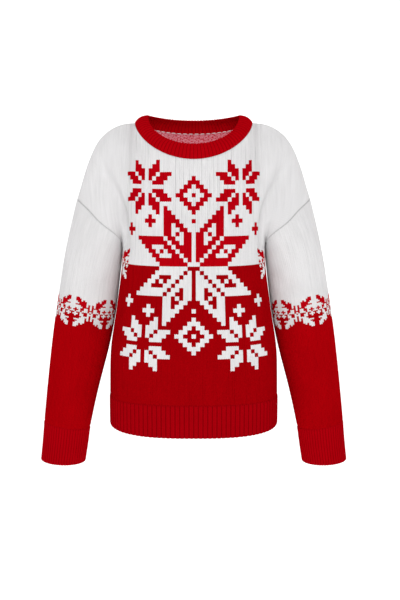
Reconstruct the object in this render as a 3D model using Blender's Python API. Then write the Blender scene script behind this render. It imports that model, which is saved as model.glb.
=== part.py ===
"""A knitted crew-neck jumper with dropped shoulders, in the hollow form it has when it is worn.

Metres, +Z up, +X to the right of someone who faces its front, -Y towards them. The origin is on the middle
plane, level with the top of the back collar, where the shoulders of the wearer carry it.

Each knitted piece is a wall: a grid of outer points, a grid of inner points and the rims between them.
Front and back are four-sided patches whose columns are the wales of the knitting and whose rows are its
courses. Sleeves, cuffs and collar are rings. Ribs are raised in the outer points over a plain inside.
"""

import math

import bpy
import numpy as np

# ---- driving sizes, in metres ---------------------------------------------------------------------------

WALL = 0.0024  # jacquard knit with its floats
RIB_WALL = 0.0020  # rib between two raised wales
RIB_HEIGHT = 0.0011  # how far a raised wale of the rib stands proud
SEAM_GAP = 0.0003  # between two pieces sewn together

HEM_BOTTOM = -0.6415  # at the middle of the front and the back
HEM_SIDE_RISE = 0.0125  # how much higher the hem is at the side seams, where the rib pulls it up
HEM_RISE_POWER = 3  # how late across a panel that rise begins
HEM_TOP = -0.573
UNDERARM = -0.262
UNDERARM_SIDE = 0.1480  # half the width of the body there
SECTION_POWER = 2.6  # of the superellipse that a level cut through the body makes

# Level cuts through the body, from the hem up to the underarm.
BODY = {
    "height": (HEM_BOTTOM, HEM_TOP, -0.530, -0.470, -0.416, -0.352, -0.310, UNDERARM),
    "half_width": (0.1775, 0.1775, 0.1770, 0.1745, 0.1665, 0.1570, 0.1515, UNDERARM_SIDE),
    "front_depth": (0.1200, 0.1210, 0.1220, 0.1240, 0.1255, 0.1270, 0.1275, 0.1270),
    "back_depth": (0.1120, 0.1120, 0.1100, 0.1060, 0.1020, 0.1020, 0.1060, 0.1110),
}

# The shoulder line, from the side of the neck to the top of the armhole.
NECK_SIDE = (0.1220, 0.0100, -0.0040)
ARMHOLE_TOP = (0.2430, 0.0, -0.1600)
SHOULDER = {
    "x": (NECK_SIDE[0], 0.1480, 0.1730, 0.1900, 0.2060, 0.2170, 0.2260, 0.2335, ARMHOLE_TOP[0]),
    "y": (NECK_SIDE[1], 0.0090, 0.0080, 0.0070, 0.0060, 0.0045, 0.0030, 0.0015, ARMHOLE_TOP[1]),
    "z": (NECK_SIDE[2], -0.0070, -0.0180, -0.0320, -0.0550, -0.0800, -0.1050, -0.1300, ARMHOLE_TOP[2]),
}

# Half of the armhole seam, from the underarm over the front of the upper arm to the shoulder line.
ARMHOLE = {
    "x": (UNDERARM_SIDE, 0.1490, 0.1540, 0.1660, 0.1885, 0.2125, 0.2320, ARMHOLE_TOP[0]),
    "depth": (0.0, 0.0270, 0.0510, 0.0670, 0.0690, 0.0500, 0.0260, 0.0),
    "z": (UNDERARM, -0.2480, -0.2350, -0.2220, -0.2045, -0.1820, -0.1670, ARMHOLE_TOP[2]),
}
ARMHOLE_AXIS = (0.73, 0.0, -0.68)  # square to the armhole, towards the sleeve

# The neck seam and the free edge of the collar: ovals seen from above that drop at the front and the back.
NECK_SEAM = {"half_width": NECK_SIDE[0], "front": 0.1050, "back": 0.0750, "centre": NECK_SIDE[1],
             "top": NECK_SIDE[2], "front_drop": 0.0705, "front_power": 1.35, "back_drop": 0.0240,
             "back_power": 1.6}
COLLAR_EDGE = {"half_width": 0.0955, "front": 0.0860, "back": 0.0620, "centre": 0.0080,
               "top": 0.0110, "front_drop": 0.0565, "front_power": 1.05, "back_drop": 0.0110,
               "back_power": 1.8}
COLLAR_BULGE = 0.0040  # how far the band rounds out between its seam and its edge

# Which way the cloth faces at the neck seam. At its sides it faces mostly up, at front and back mostly level.
NECK_FACING = {"across": 0.45, "level": 0.95, "up_at_side": 0.85, "up_at_middle": 0.35}

# One sleeve from the armhole to the cuff: its outer and inner line, half its depth and the middle of it.
SLEEVE = {
    "outer_x": (ARMHOLE_TOP[0], 0.2620, 0.2775, 0.2910, 0.3020, 0.3110, 0.3186),
    "outer_z": (ARMHOLE_TOP[2], -0.2350, -0.3080, -0.3865, -0.4690, -0.5510, -0.6300),
    "inner_x": (UNDERARM_SIDE, 0.1537, 0.1602, 0.1692, 0.1838, 0.2035, 0.2215),
    "inner_z": (UNDERARM, -0.3100, -0.3620, -0.4220, -0.4890, -0.5640, -0.6450),
    "half_depth": (0.0700, 0.0700, 0.0680, 0.0640, 0.0590, 0.0540, 0.0480),
    "middle_y": (0.0, 0.0070, 0.0130, 0.0140, 0.0090, 0.0, -0.0100),
}
CUFF = {
    "outer_x": (0.3179, 0.3213, 0.3255),
    "outer_z": (-0.6300, -0.6715, -0.7120),
    "inner_x": (0.2222, 0.2268, 0.2325),
    "inner_z": (-0.6450, -0.6805, -0.7165),
    "half_depth": (0.0473, 0.0464, 0.0462),
    "middle_y": (-0.0100, -0.0140, -0.0180),
}

# Across a half row, where the cloth stops running straight to the neck and arches over the shoulder instead.
OVER_SHOULDER = (0.15, 0.75)
NECK_REACH_POWER = 1.9  # how late the cloth below the neck leans in on its way up
NECK_CORNER_SPREAD = 0.11  # across, how widely the corner at the side of the neck is eased lower down
CORNER_FADE_POWER = 3  # how fast that easing ends towards the upper edge
ARMHOLE_PULL_POWER = 3  # how fast the pull of the armhole's own line ends away from the side
EDGE_POWER = 8  # how close to a panel's side edges an easing or a trough still reaches
ARMHOLE_FADE = 0.3  # of the sleeve's length, the part that still takes the armhole's own line

# Soft troughs in front and back: where each begins and ends on the panel, its half width and its depth.
# Across runs from 0 at the middle to 1 at the side, up from 0 at the hem rib to 1 at the shoulder line.
TROUGHS = {
    "front": {
        "across": ((0.80, 0.70), (0.66, 0.80), (0.70, 0.86)),
        "up": ((0.93, 0.58), (0.50, 0.30), (0.34, 0.08)),
        "width": (0.075, 0.070, 0.060),
        "depth": (0.0055, 0.0030, 0.0025),
    },
    "back": {
        "across": ((0.82, 0.72), (0.30, 0.62), (0.12, 0.20)),
        "up": ((0.92, 0.56), (0.66, 0.36), (0.30, 0.10)),
        "width": (0.075, 0.080, 0.090),
        "depth": (0.0050, 0.0045, 0.0030),
    },
}

# ---- how finely each piece is divided -------------------------------------------------------------------

NECK_SHARE = 0.45  # of each half row, the part whose wales end at the neck
NECK_COLUMNS = 8  # in half of the neck
SHOULDER_COLUMNS = 9  # in one shoulder
ROWS_BELOW = 9  # between hem rib and underarm
ROWS_ABOVE = 13  # between underarm and shoulder line
UNDERARM_SHARE = 0.60  # of a panel's height, the part below the underarm
SLEEVE_ROWS = 14
HEM_RIBS = 52  # on the front, and as many on the back
CUFF_RIBS = 52
RIBS_PER_NECK_COLUMN = 3
COLLAR_ROWS = 2
CUFF_ROWS = 2
SHARP_EDGE = math.radians(50)  # a fold in the surface that is shaded as an edge
SAMPLES = 400  # along a curve, for measuring its length
NEAR = 0.01  # a small step along a curve, for its direction

# ---- colours --------------------------------------------------------------------------------------------

WHITE = (0.84, 0.84, 0.85, 1.0)
RED = (0.40, 0.004, 0.012, 1.0)


# ---- curves and surfaces --------------------------------------------------------------------------------


def spline(knots, values, at):
    """Natural cubic spline through values (one row for each knot), read at the places in at."""
    knots = np.asarray(knots, float)
    values = np.asarray(values, float)
    count = len(knots)
    step = np.diff(knots)
    slope = np.diff(values, axis=0) / step[:, None]
    system = np.eye(count)
    right = np.zeros_like(values)
    for i in range(1, count - 1):
        system[i, i - 1:i + 2] = step[i - 1], 2 * (step[i - 1] + step[i]), step[i]
        right[i] = 6 * (slope[i] - slope[i - 1])
    bend = np.linalg.solve(system, right)
    at = np.clip(np.asarray(at, float), knots[0], knots[-1])
    i = np.clip(np.searchsorted(knots, at, side="right") - 1, 0, count - 2)
    h = step[i][:, None]
    a = (knots[i + 1] - at)[:, None]
    b = (at - knots[i])[:, None]
    return ((bend[i] * a**3 + bend[i + 1] * b**3) / (6 * h)
            + (values[i] / h - bend[i] * h / 6) * a
            + (values[i + 1] / h - bend[i + 1] * h / 6) * b)


def along(points, shares):
    """Points at the given shares of the length of a smooth curve through points."""
    points = np.asarray(points, float)
    chord = np.concatenate([[0], np.cumsum(np.linalg.norm(np.diff(points, axis=0), axis=1))])
    fine = spline(chord, points, np.linspace(0, chord[-1], SAMPLES))
    length = np.concatenate([[0], np.cumsum(np.linalg.norm(np.diff(fine, axis=0), axis=1))])
    places = np.asarray(shares, float) * length[-1]
    return np.stack([np.interp(places, length, fine[:, k]) for k in range(3)], axis=-1)


def unit(vectors):
    return vectors / np.maximum(np.linalg.norm(vectors, axis=-1, keepdims=True), 1e-12)


def body_size(name, height):
    return spline(BODY["height"], np.asarray(BODY[name])[:, None], [height])[0, 0]


def section(face, height, across, inset=0.0):
    """Half of a level cut through the body. across runs from -1 to 1, side seam to side seam, by length."""
    half_width = body_size("half_width", height) - inset
    depth = body_size("front_depth" if face < 0 else "back_depth", height) - inset
    angle = np.linspace(-math.pi / 2, math.pi / 2, 2 * SAMPLES + 1)
    x = half_width * np.sign(angle) * np.abs(np.sin(angle)) ** (2 / SECTION_POWER)
    y = face * depth * np.abs(np.cos(angle)) ** (2 / SECTION_POWER)
    length = np.concatenate([[0], np.cumsum(np.hypot(np.diff(x), np.diff(y)))])
    place = (np.asarray(across) + 1) / 2 * length[-1]
    px = np.interp(place, length, x)
    py = np.interp(place, length, y)
    return np.stack([px, py, np.full_like(px, height)], axis=-1)


def oval(sizes, angle):
    """A neck oval. The angle is 0 at the right side, 90 degrees at the back and 270 at the front."""
    across = np.cos(angle)
    back = np.sin(angle)
    rear = back > 0
    reach = np.where(rear, sizes["back"], sizes["front"])
    drop = np.where(rear, sizes["back_drop"] * np.abs(back) ** sizes["back_power"],
                    sizes["front_drop"] * np.abs(back) ** sizes["front_power"])
    x = sizes["half_width"] * across
    y = sizes["centre"] + reach * back
    return np.stack([x, y, sizes["top"] - drop], axis=-1)


def neck_normal(angle):
    """Outward from the cloth at the neck seam."""
    across = np.cos(angle)
    back = np.sin(angle)
    up = NECK_FACING["up_at_side"] * np.abs(across) + NECK_FACING["up_at_middle"] * np.abs(back)
    return unit(np.stack([NECK_FACING["across"] * across, NECK_FACING["level"] * back, up], axis=-1))


def neck_angle(face, across):
    """The angle on the neck oval where the wale at across ends, for |across| up to NECK_SHARE."""
    quarter = np.asarray(across) / NECK_SHARE * math.pi / 2
    return -math.pi / 2 + quarter if face < 0 else math.pi / 2 - quarter


def shoulder_line(share):
    """Points on the right shoulder line, from the neck at 0 to the armhole at 1."""
    return along(np.stack([SHOULDER["x"], SHOULDER["y"], SHOULDER["z"]], axis=-1), share)


def shoulder_inward(share):
    """Square to the shoulder line in the plane of X and Z, into the garment."""
    run = shoulder_line(np.clip(share + NEAR, 0, 1)) - shoulder_line(np.clip(share - NEAR, 0, 1))
    return unit(np.stack([run[:, 2], np.zeros(len(run)), -run[:, 0]], axis=-1))


def armhole(face, share):
    """Points on the right armhole seam, from the underarm at 0 to the shoulder line at 1."""
    return along(np.stack([ARMHOLE["x"], face * np.asarray(ARMHOLE["depth"]), ARMHOLE["z"]], axis=-1), share)


def armhole_inward(face, share):
    """From the outer to the inner edge of the cloth at the armhole, shared by panel and sleeve."""
    turn = np.asarray(share, float) * math.pi
    low = (1 + np.cos(turn))[:, None] / 2 * np.array([0.0, 0.0, 1.0])
    high = (1 - np.cos(turn))[:, None] / 2 * shoulder_inward(np.array([1.0]))
    middle = np.sin(turn)[:, None] * np.array([0.0, -face, 0.0])
    return unit(low + high + middle)


def mirrored(points, sign):
    """The points, or their mirror image in the middle plane where sign is -1."""
    flipped = points.copy()
    flipped[..., 0] = flipped[..., 0] * sign
    return flipped


def top_edge(face, across):
    """The upper edge of a panel: shoulder line, neck, shoulder line."""
    size = np.abs(across)
    sign = np.where(across < 0, -1.0, 1.0)
    neck = oval(NECK_SEAM, neck_angle(face, np.clip(across, -NECK_SHARE, NECK_SHARE)))
    shoulder = shoulder_line(np.clip((size - NECK_SHARE) / (1 - NECK_SHARE), 0, 1))
    shoulder[:, 0] *= sign
    return np.where((size < NECK_SHARE)[:, None], neck, shoulder)


def eased_corner(face, across):
    """How far the upper edge moves where its corners at the sides of the neck are rounded off."""
    half = SAMPLES // 2
    reach = half // 2
    fine = np.linspace(-1, 1, 2 * half + 1)
    exact = top_edge(face, fine)
    window = np.arange(-reach, reach + 1)
    weight = np.exp(-((window / half / NECK_CORNER_SPREAD) ** 2))
    weight /= weight.sum()
    before = 2 * exact[0] - exact[reach:0:-1]
    after = 2 * exact[-1] - exact[-2:-2 - reach:-1]
    padded = np.concatenate([before, exact, after])
    eased = np.stack([np.convolve(padded[:, k], weight, mode="valid") for k in range(3)], axis=-1)
    moved = (eased - exact) * (1 - np.abs(fine) ** EDGE_POWER)[:, None]
    return np.stack([np.interp(across, fine, moved[:, k]) for k in range(3)], axis=-1)


def smooth_step(value, low, high):
    share = np.clip((value - low) / (high - low), 0, 1)
    return share * share * (3 - 2 * share)


def panel_row(face, across, up):
    """One course of the front (face -1) or the back (face 1), at the height share up."""
    if up <= UNDERARM_SHARE:
        return section(face, HEM_TOP + (UNDERARM - HEM_TOP) * up / UNDERARM_SHARE, across)
    share = (up - UNDERARM_SHARE) / (1 - UNDERARM_SHARE)
    low = section(face, UNDERARM, across)
    high = top_edge(face, across) + (1 - share**CORNER_FADE_POWER) * eased_corner(face, across)
    over_shoulder = smooth_step(np.abs(across), *OVER_SHOULDER)
    rise = (1 - over_shoulder) * share + over_shoulder * math.sin(math.pi / 2 * share)
    round_way = 1 - math.cos(math.pi / 2 * share)
    reach = (1 - over_shoulder) * share**NECK_REACH_POWER + over_shoulder * round_way
    blend = np.stack([reach, reach, rise], axis=-1)
    row = low + (high - low) * blend
    start = armhole(face, [0.0])[0]
    finish = armhole(face, [1.0])[0]
    plain = start + (finish - start) * np.array([round_way, round_way, math.sin(math.pi / 2 * share)])
    pull = armhole(face, [share])[0] - plain
    weight = np.abs(across) ** ARMHOLE_PULL_POWER
    row[:, 0] += np.where(across < 0, -1, 1) * weight * pull[0]
    row[:, 1] += weight * pull[1]
    row[:, 2] += weight * pull[2]
    return row


def trough_depth(name, across, up):
    """How far the cloth of a panel sinks at one place, summed over its soft troughs."""
    sunk = np.zeros(np.broadcast(across, up).shape)
    table = TROUGHS[name]
    for ends, heights, width, depth in zip(table["across"], table["up"], table["width"], table["depth"]):
        run = np.array([ends[1] - ends[0], heights[1] - heights[0]])
        length = np.linalg.norm(run)
        run = run / length
        for side in (-1, 1):
            dx = side * across - ends[0]
            dy = up - heights[0]
            travelled = (dx * run[0] + dy * run[1]) / length
            beside = dx * run[1] - dy * run[0]
            taper = smooth_step(travelled, -0.25, 0.25) * (1 - smooth_step(travelled, 0.75, 1.25))
            sunk += depth * taper * np.exp(-((beside / width) ** 2))
    return sunk


def grid_normals(points, closed=False):
    """Unit normals of a grid, by rows and columns. They point to the left of a step up seen along a row."""
    if closed:
        across = np.roll(points, -1, axis=1) - np.roll(points, 1, axis=1)
    else:
        across = np.gradient(points, axis=1)
    return unit(np.cross(across, np.gradient(points, axis=0)))


def ring(table, share, angle, inset=0.0):
    """A sleeve ring. The angle is 0 at the outer line, 90 degrees at the front and 180 at the inner line."""
    rows = np.linspace(0, 1, len(table["outer_x"]))
    names = ("outer_x", "outer_z", "inner_x", "inner_z", "half_depth", "middle_y")
    values = spline(rows, np.stack([table[name] for name in names], axis=-1), [share])[0]
    outer = np.array([values[0], values[5], values[1]])
    inner = np.array([values[2], values[5], values[3]])
    arm = (outer - inner) / 2
    arm = arm * (1 - inset / np.linalg.norm(arm))
    front = np.array([0.0, inset - values[4], 0.0])
    return (outer + inner) / 2 + np.cos(angle)[:, None] * arm + np.sin(angle)[:, None] * front


# ---- solids ---------------------------------------------------------------------------------------------


def material(name, colour):
    made = bpy.data.materials.new(name)
    made.use_nodes = True
    shader = made.node_tree.nodes["Principled BSDF"]
    shader.inputs["Base Color"].default_value = colour
    shader.inputs["Roughness"].default_value = 0.9
    shader.inputs["Metallic"].default_value = 0.0
    return made


def split(points, quads):
    """Two triangles for each quad, along its shorter diagonal, so that both sides of a seam split alike."""
    corners = points[quads]
    first = np.linalg.norm(corners[:, 0] - corners[:, 2], axis=1)
    second = np.linalg.norm(corners[:, 1] - corners[:, 3], axis=1)
    along_first = quads[:, [0, 1, 2, 0, 2, 3]]
    along_second = quads[:, [0, 1, 3, 1, 2, 3]]
    return np.where((first <= second)[:, None], along_first, along_second).reshape(-1, 3)


def wall(name, outer, inner, closed, colour):
    """A body between two grids of points. A closed wall is a tube whose last column meets its first."""
    rows, columns = outer.shape[:2]
    points = np.concatenate([outer.reshape(-1, 3), inner.reshape(-1, 3)])
    behind = rows * columns

    def index(row, column, side):
        return side * behind + row * columns + column % columns

    spans = columns if closed else columns - 1
    faces = []
    for column in range(spans):
        after = column + 1
        for row in range(rows - 1):
            faces.append([index(row, column, 0), index(row, after, 0), index(row + 1, after, 0),
                          index(row + 1, column, 0)])
            faces.append([index(row, column, 1), index(row + 1, column, 1), index(row + 1, after, 1),
                          index(row, after, 1)])
        faces.append([index(0, column, 0), index(0, column, 1), index(0, after, 1), index(0, after, 0)])
        top = rows - 1
        faces.append([index(top, column, 0), index(top, after, 0), index(top, after, 1),
                      index(top, column, 1)])
    if not closed:
        last = columns - 1
        for row in range(rows - 1):
            faces.append([index(row, 0, 0), index(row + 1, 0, 0), index(row + 1, 0, 1), index(row, 0, 1)])
            faces.append([index(row, last, 0), index(row, last, 1), index(row + 1, last, 1),
                          index(row + 1, last, 0)])
    triangles = split(points, np.array(faces))
    mesh = bpy.data.meshes.new(name)
    mesh.from_pydata(points.tolist(), [], triangles.tolist())
    corners = points[triangles]
    volume = np.einsum("ij,ij->i", corners[:, 0], np.cross(corners[:, 1], corners[:, 2])).sum()
    if volume < 0:
        mesh.flip_normals()
    mesh.shade_smooth()
    mesh.set_sharp_from_angle(angle=SHARP_EDGE)
    body = bpy.data.objects.new(name, mesh)
    body.data.materials.append(material(name + "_knit", colour))
    bpy.context.scene.collection.objects.link(body)
    return body


def panel_columns():
    neck = np.linspace(0, NECK_SHARE, NECK_COLUMNS + 1)
    shoulder = np.linspace(NECK_SHARE, 1, SHOULDER_COLUMNS + 1)[1:]
    half = np.concatenate([neck, shoulder])
    return np.concatenate([-half[:0:-1], half])


def panel_grids(name, face):
    """Outer and inner points of the front (face -1) or the back (face 1)."""
    across = panel_columns()
    up = np.concatenate([np.linspace(0, UNDERARM_SHARE, ROWS_BELOW + 1),
                         np.linspace(UNDERARM_SHARE, 1, ROWS_ABOVE + 1)[1:]])
    sunk = trough_depth(name, across[None, :], up[:, None])
    inside = (1 - np.abs(across[None, :]) ** EDGE_POWER) * np.clip(8 * up * (1 - up), 0, 1)[:, None]
    sunk = sunk * inside
    plain = np.stack([panel_row(face, across, share) for share in up])
    outward = -face * grid_normals(plain)
    outer = plain - sunk[..., None] * outward
    inner = outer - WALL * outward
    low = ROWS_BELOW + 1
    for row in range(low):
        height = plain[row, 0, 2]
        inner[row] = section(face, height, across, WALL) - sunk[row][:, None] * outward[row]
    finish_edges(face, across, outer, inner)
    return outer, inner


def finish_edges(face, across, outer, inner):
    """Gives both grids of a panel the edges that the next pieces meet, half a seam gap from each seam."""
    low = ROWS_BELOW
    back_off = SEAM_GAP / 2
    share = np.linspace(0, 1, ROWS_ABOVE + 1)
    edge = armhole(face, share) - back_off * unit(np.array(ARMHOLE_AXIS))
    edge_inner = edge + WALL * armhole_inward(face, share)
    for column, sign in ((0, -1), (-1, 1)):
        outer[low:, column] = mirrored(edge, sign)
        inner[low:, column] = mirrored(edge_inner, sign)
    neck = np.abs(across) <= NECK_SHARE + 1e-9
    angle = neck_angle(face, across[neck])
    outer[-1, neck] = oval(NECK_SEAM, angle) + back_off * seam_away(angle)
    inner[-1, neck] = outer[-1, neck] - WALL * neck_normal(angle)
    shoulder = np.abs(across) >= NECK_SHARE - 1e-9
    sign = np.where(across[shoulder] < 0, -1.0, 1.0)
    place = (np.abs(across[shoulder]) - NECK_SHARE) / (1 - NECK_SHARE)
    inward = shoulder_inward(place)
    inward[:, 0] *= sign
    ends = (place < 1e-9) | (place > 1 - 1e-9)
    inner[-1, shoulder] = np.where(ends[:, None], inner[-1, shoulder], outer[-1, shoulder] + WALL * inward)
    for grid in (outer, inner):
        grid[-1, shoulder, 1] += face * back_off
        grid[:low + 1, 0, 1] = face * back_off
        grid[:low + 1, -1, 1] = face * back_off
        grid[0, :, 2] = HEM_TOP + back_off


def seam_away(angle):
    """From the neck seam into the panel, square to the seam and to the cloth's normal."""
    run = unit(oval(NECK_SEAM, angle + NEAR) - oval(NECK_SEAM, angle - NEAR))
    return unit(np.cross(run, neck_normal(angle)))


def make_panels():
    for name, face in (("front", -1), ("back", 1)):
        outer, inner = panel_grids(name, face)
        wall(name, outer, inner, False, WHITE)


def make_hem():
    """Two rib bands, sewn to each other at the side seams."""
    for name, face in (("hem_rib_front", -1), ("hem_rib_back", 1)):
        across = np.linspace(-1, 1, 2 * HEM_RIBS + 1)
        raised = RIB_HEIGHT * (np.arange(len(across)) % 2)
        heights = (HEM_BOTTOM, HEM_TOP - SEAM_GAP / 2)
        plain = np.stack([section(face, height, across) for height in heights])
        outward = -face * grid_normals(plain)
        outer = plain + raised[None, :, None] * outward
        inner = np.stack([section(face, height, across, RIB_WALL) for height in heights])
        for grid in (outer, inner):
            grid[0, :, 2] = HEM_BOTTOM + HEM_SIDE_RISE * np.abs(across) ** HEM_RISE_POWER
            for column in (0, -1):
                grid[:, column, 1] = face * SEAM_GAP / 2
        wall(name, outer, inner, False, RED)


def make_collar():
    """A rib band from the neck seam to its free edge, on the same straight runs as the panels' neck edges."""
    per_column = 2 * RIBS_PER_NECK_COLUMN
    corners = 4 * NECK_COLUMNS
    corner_angles = np.arange(corners + 1) / corners * 2 * math.pi
    places = np.arange(corners * per_column) / per_column
    angle = np.interp(places, np.arange(corners + 1), corner_angles)

    def on_runs(values):
        return np.stack([np.interp(places, np.arange(corners + 1), values[:, k]) for k in range(3)], axis=-1)

    seam = on_runs(oval(NECK_SEAM, corner_angles) - SEAM_GAP / 2 * seam_away(corner_angles))
    outward = unit(on_runs(neck_normal(corner_angles)))
    edge = oval(COLLAR_EDGE, angle)
    raised = RIB_HEIGHT * (np.arange(len(angle)) % 2)
    plain = []
    for row in range(COLLAR_ROWS + 1):
        share = row / COLLAR_ROWS
        bulge = COLLAR_BULGE * math.sin(math.pi * share)
        plain.append(seam + (edge - seam) * share + bulge * outward)
    plain = np.stack(plain)
    outer = plain + raised[None, :, None] * outward
    inner = plain - RIB_WALL * outward
    wall("collar_rib", outer, inner, True, RED)


def sleeve_points(share, angle, inset):
    """A ring of the right sleeve. Near the armhole it keeps what sets the armhole apart from a plain oval."""
    fade = max(0.0, 1 - share / ARMHOLE_FADE) ** 2
    turn = np.where(angle <= math.pi, angle, 2 * math.pi - angle)
    seam = np.stack([armhole(-1 if a <= math.pi else 1, [1 - t / math.pi])[0] for a, t in zip(angle, turn)])
    return ring(SLEEVE, share, angle, inset) + fade * (seam - ring(SLEEVE, 0.0, angle))


def make_sleeves():
    columns = 2 * ROWS_ABOVE
    angle = np.arange(columns) / columns * 2 * math.pi
    turn = np.where(angle <= math.pi, angle, 2 * math.pi - angle)
    shares = np.linspace(0, 1, SLEEVE_ROWS + 1)
    outer = np.stack([sleeve_points(share, angle, 0.0) for share in shares])
    inner = np.stack([sleeve_points(share, angle, WALL) for share in shares])
    outer[0] += SEAM_GAP / 2 * unit(np.array(ARMHOLE_AXIS))
    for column, (a, t) in enumerate(zip(angle, turn)):
        face = -1 if a <= math.pi else 1
        inner[0, column] = outer[0, column] + WALL * armhole_inward(face, [1 - t / math.pi])[0]
    for name, sign in (("sleeve_right", 1), ("sleeve_left", -1)):
        wall(name, mirrored(outer, sign), mirrored(inner, sign), True, WHITE)


def make_cuffs():
    columns = 2 * CUFF_RIBS
    angle = np.arange(columns) / columns * 2 * math.pi
    shares = np.linspace(0, 1, CUFF_ROWS + 1)
    outer = np.stack([ring(CUFF, share, angle) for share in shares])
    inner = np.stack([ring(CUFF, share, angle, RIB_WALL) for share in shares])
    raised = np.stack([ring(CUFF, share, angle, -RIB_HEIGHT) for share in shares])
    outer[:, 1::2] = raised[:, 1::2]
    down = SEAM_GAP * unit(ring(CUFF, 0.5, np.zeros(1)) - ring(CUFF, 0.0, np.zeros(1)))
    outer[0] += down
    inner[0] += down
    for name, sign in (("cuff_right", 1), ("cuff_left", -1)):
        wall(name, mirrored(outer, sign), mirrored(inner, sign), True, RED)


def main():
    for item in list(bpy.data.objects):
        bpy.data.objects.remove(item, do_unlink=True)
    make_panels()
    make_hem()
    make_collar()
    make_sleeves()
    make_cuffs()


main()
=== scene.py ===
"""The looks of a knitted Christmas jumper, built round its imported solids.

Each piece is knitted over the form of its own solid, in wales (columns of stitches) and courses (rows of
stitches), from the hem or the cuff upwards. All courses have one height. The wales of a panel fill each level
below the underarm. Above it those near the middle run straight up, and the others close up or spread out. A
stitch is a V of two legs, so the boundary between two colours runs in the zigzag that real stitches make.
Colours come from charts in stitches.
"""

import math

import bpy
import numpy as np
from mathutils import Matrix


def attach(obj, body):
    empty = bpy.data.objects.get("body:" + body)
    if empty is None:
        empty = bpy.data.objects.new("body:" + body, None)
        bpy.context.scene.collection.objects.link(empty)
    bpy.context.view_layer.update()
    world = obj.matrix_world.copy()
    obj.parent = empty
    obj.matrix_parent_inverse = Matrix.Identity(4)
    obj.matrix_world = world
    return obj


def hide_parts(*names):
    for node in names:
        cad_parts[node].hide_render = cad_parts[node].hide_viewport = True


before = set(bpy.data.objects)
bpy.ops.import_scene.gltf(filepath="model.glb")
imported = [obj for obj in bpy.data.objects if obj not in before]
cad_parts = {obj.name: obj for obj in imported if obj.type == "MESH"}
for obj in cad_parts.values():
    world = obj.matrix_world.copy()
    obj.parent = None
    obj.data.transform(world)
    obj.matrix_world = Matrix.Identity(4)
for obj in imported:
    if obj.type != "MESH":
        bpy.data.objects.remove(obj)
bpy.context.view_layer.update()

# ---- the garment's sizes, in metres, as its solids have them --------------------------------------------

WALL = 0.0024
RIB_WALL = 0.0020
HEM_BOTTOM = -0.6415
HEM_SIDE_RISE = 0.0125
HEM_RISE_POWER = 3
HEM_TOP = -0.573
UNDERARM = -0.262
UNDERARM_SIDE = 0.1480
SECTION_POWER = 2.6
BODY = {
    "height": (HEM_BOTTOM, HEM_TOP, -0.530, -0.470, -0.416, -0.352, -0.310, UNDERARM),
    "half_width": (0.1775, 0.1775, 0.1770, 0.1745, 0.1665, 0.1570, 0.1515, UNDERARM_SIDE),
    "front_depth": (0.1200, 0.1210, 0.1220, 0.1240, 0.1255, 0.1270, 0.1275, 0.1270),
    "back_depth": (0.1120, 0.1120, 0.1100, 0.1060, 0.1020, 0.1020, 0.1060, 0.1110),
}
NECK_SIDE = (0.1220, 0.0100, -0.0040)
ARMHOLE_TOP = (0.2430, 0.0, -0.1600)
SHOULDER = {
    "x": (NECK_SIDE[0], 0.1480, 0.1730, 0.1900, 0.2060, 0.2170, 0.2260, 0.2335, ARMHOLE_TOP[0]),
    "y": (NECK_SIDE[1], 0.0090, 0.0080, 0.0070, 0.0060, 0.0045, 0.0030, 0.0015, ARMHOLE_TOP[1]),
    "z": (NECK_SIDE[2], -0.0070, -0.0180, -0.0320, -0.0550, -0.0800, -0.1050, -0.1300, ARMHOLE_TOP[2]),
}
ARMHOLE = {
    "x": (UNDERARM_SIDE, 0.1490, 0.1540, 0.1660, 0.1885, 0.2125, 0.2320, ARMHOLE_TOP[0]),
    "depth": (0.0, 0.0270, 0.0510, 0.0670, 0.0690, 0.0500, 0.0260, 0.0),
    "z": (UNDERARM, -0.2480, -0.2350, -0.2220, -0.2045, -0.1820, -0.1670, ARMHOLE_TOP[2]),
}
NECK_SEAM = {"half_width": NECK_SIDE[0], "front": 0.1050, "back": 0.0750, "centre": NECK_SIDE[1],
             "top": NECK_SIDE[2], "front_drop": 0.0705, "front_power": 1.35, "back_drop": 0.0240,
             "back_power": 1.6}
COLLAR_EDGE = {"half_width": 0.0955, "front": 0.0860, "back": 0.0620, "centre": 0.0080,
               "top": 0.0110, "front_drop": 0.0565, "front_power": 1.05, "back_drop": 0.0110,
               "back_power": 1.8}
COLLAR_BULGE = 0.0040
NECK_FACING = {"across": 0.45, "level": 0.95, "up_at_side": 0.85, "up_at_middle": 0.35}
SLEEVE = {
    "outer_x": (ARMHOLE_TOP[0], 0.2620, 0.2775, 0.2910, 0.3020, 0.3110, 0.3186),
    "outer_z": (ARMHOLE_TOP[2], -0.2350, -0.3080, -0.3865, -0.4690, -0.5510, -0.6300),
    "inner_x": (UNDERARM_SIDE, 0.1537, 0.1602, 0.1692, 0.1838, 0.2035, 0.2215),
    "inner_z": (UNDERARM, -0.3100, -0.3620, -0.4220, -0.4890, -0.5640, -0.6450),
    "half_depth": (0.0700, 0.0700, 0.0680, 0.0640, 0.0590, 0.0540, 0.0480),
    "middle_y": (0.0, 0.0070, 0.0130, 0.0140, 0.0090, 0.0, -0.0100),
}
CUFF = {
    "outer_x": (0.3179, 0.3213, 0.3255),
    "outer_z": (-0.6300, -0.6715, -0.7120),
    "inner_x": (0.2222, 0.2268, 0.2325),
    "inner_z": (-0.6450, -0.6805, -0.7165),
    "half_depth": (0.0473, 0.0464, 0.0462),
    "middle_y": (-0.0100, -0.0140, -0.0180),
}
OVER_SHOULDER = (0.15, 0.75)
NECK_REACH_POWER = 1.9
NECK_CORNER_SPREAD = 0.11
CORNER_FADE_POWER = 3
ARMHOLE_PULL_POWER = 3
EDGE_POWER = 8
ARMHOLE_FADE = 0.3
DEGREES_PER_LENGTH = 300  # degrees round a sleeve that are as long as the sleeve, for the widths of its folds
NECK_SHARE = 0.45
UNDERARM_SHARE = 0.60

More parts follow.
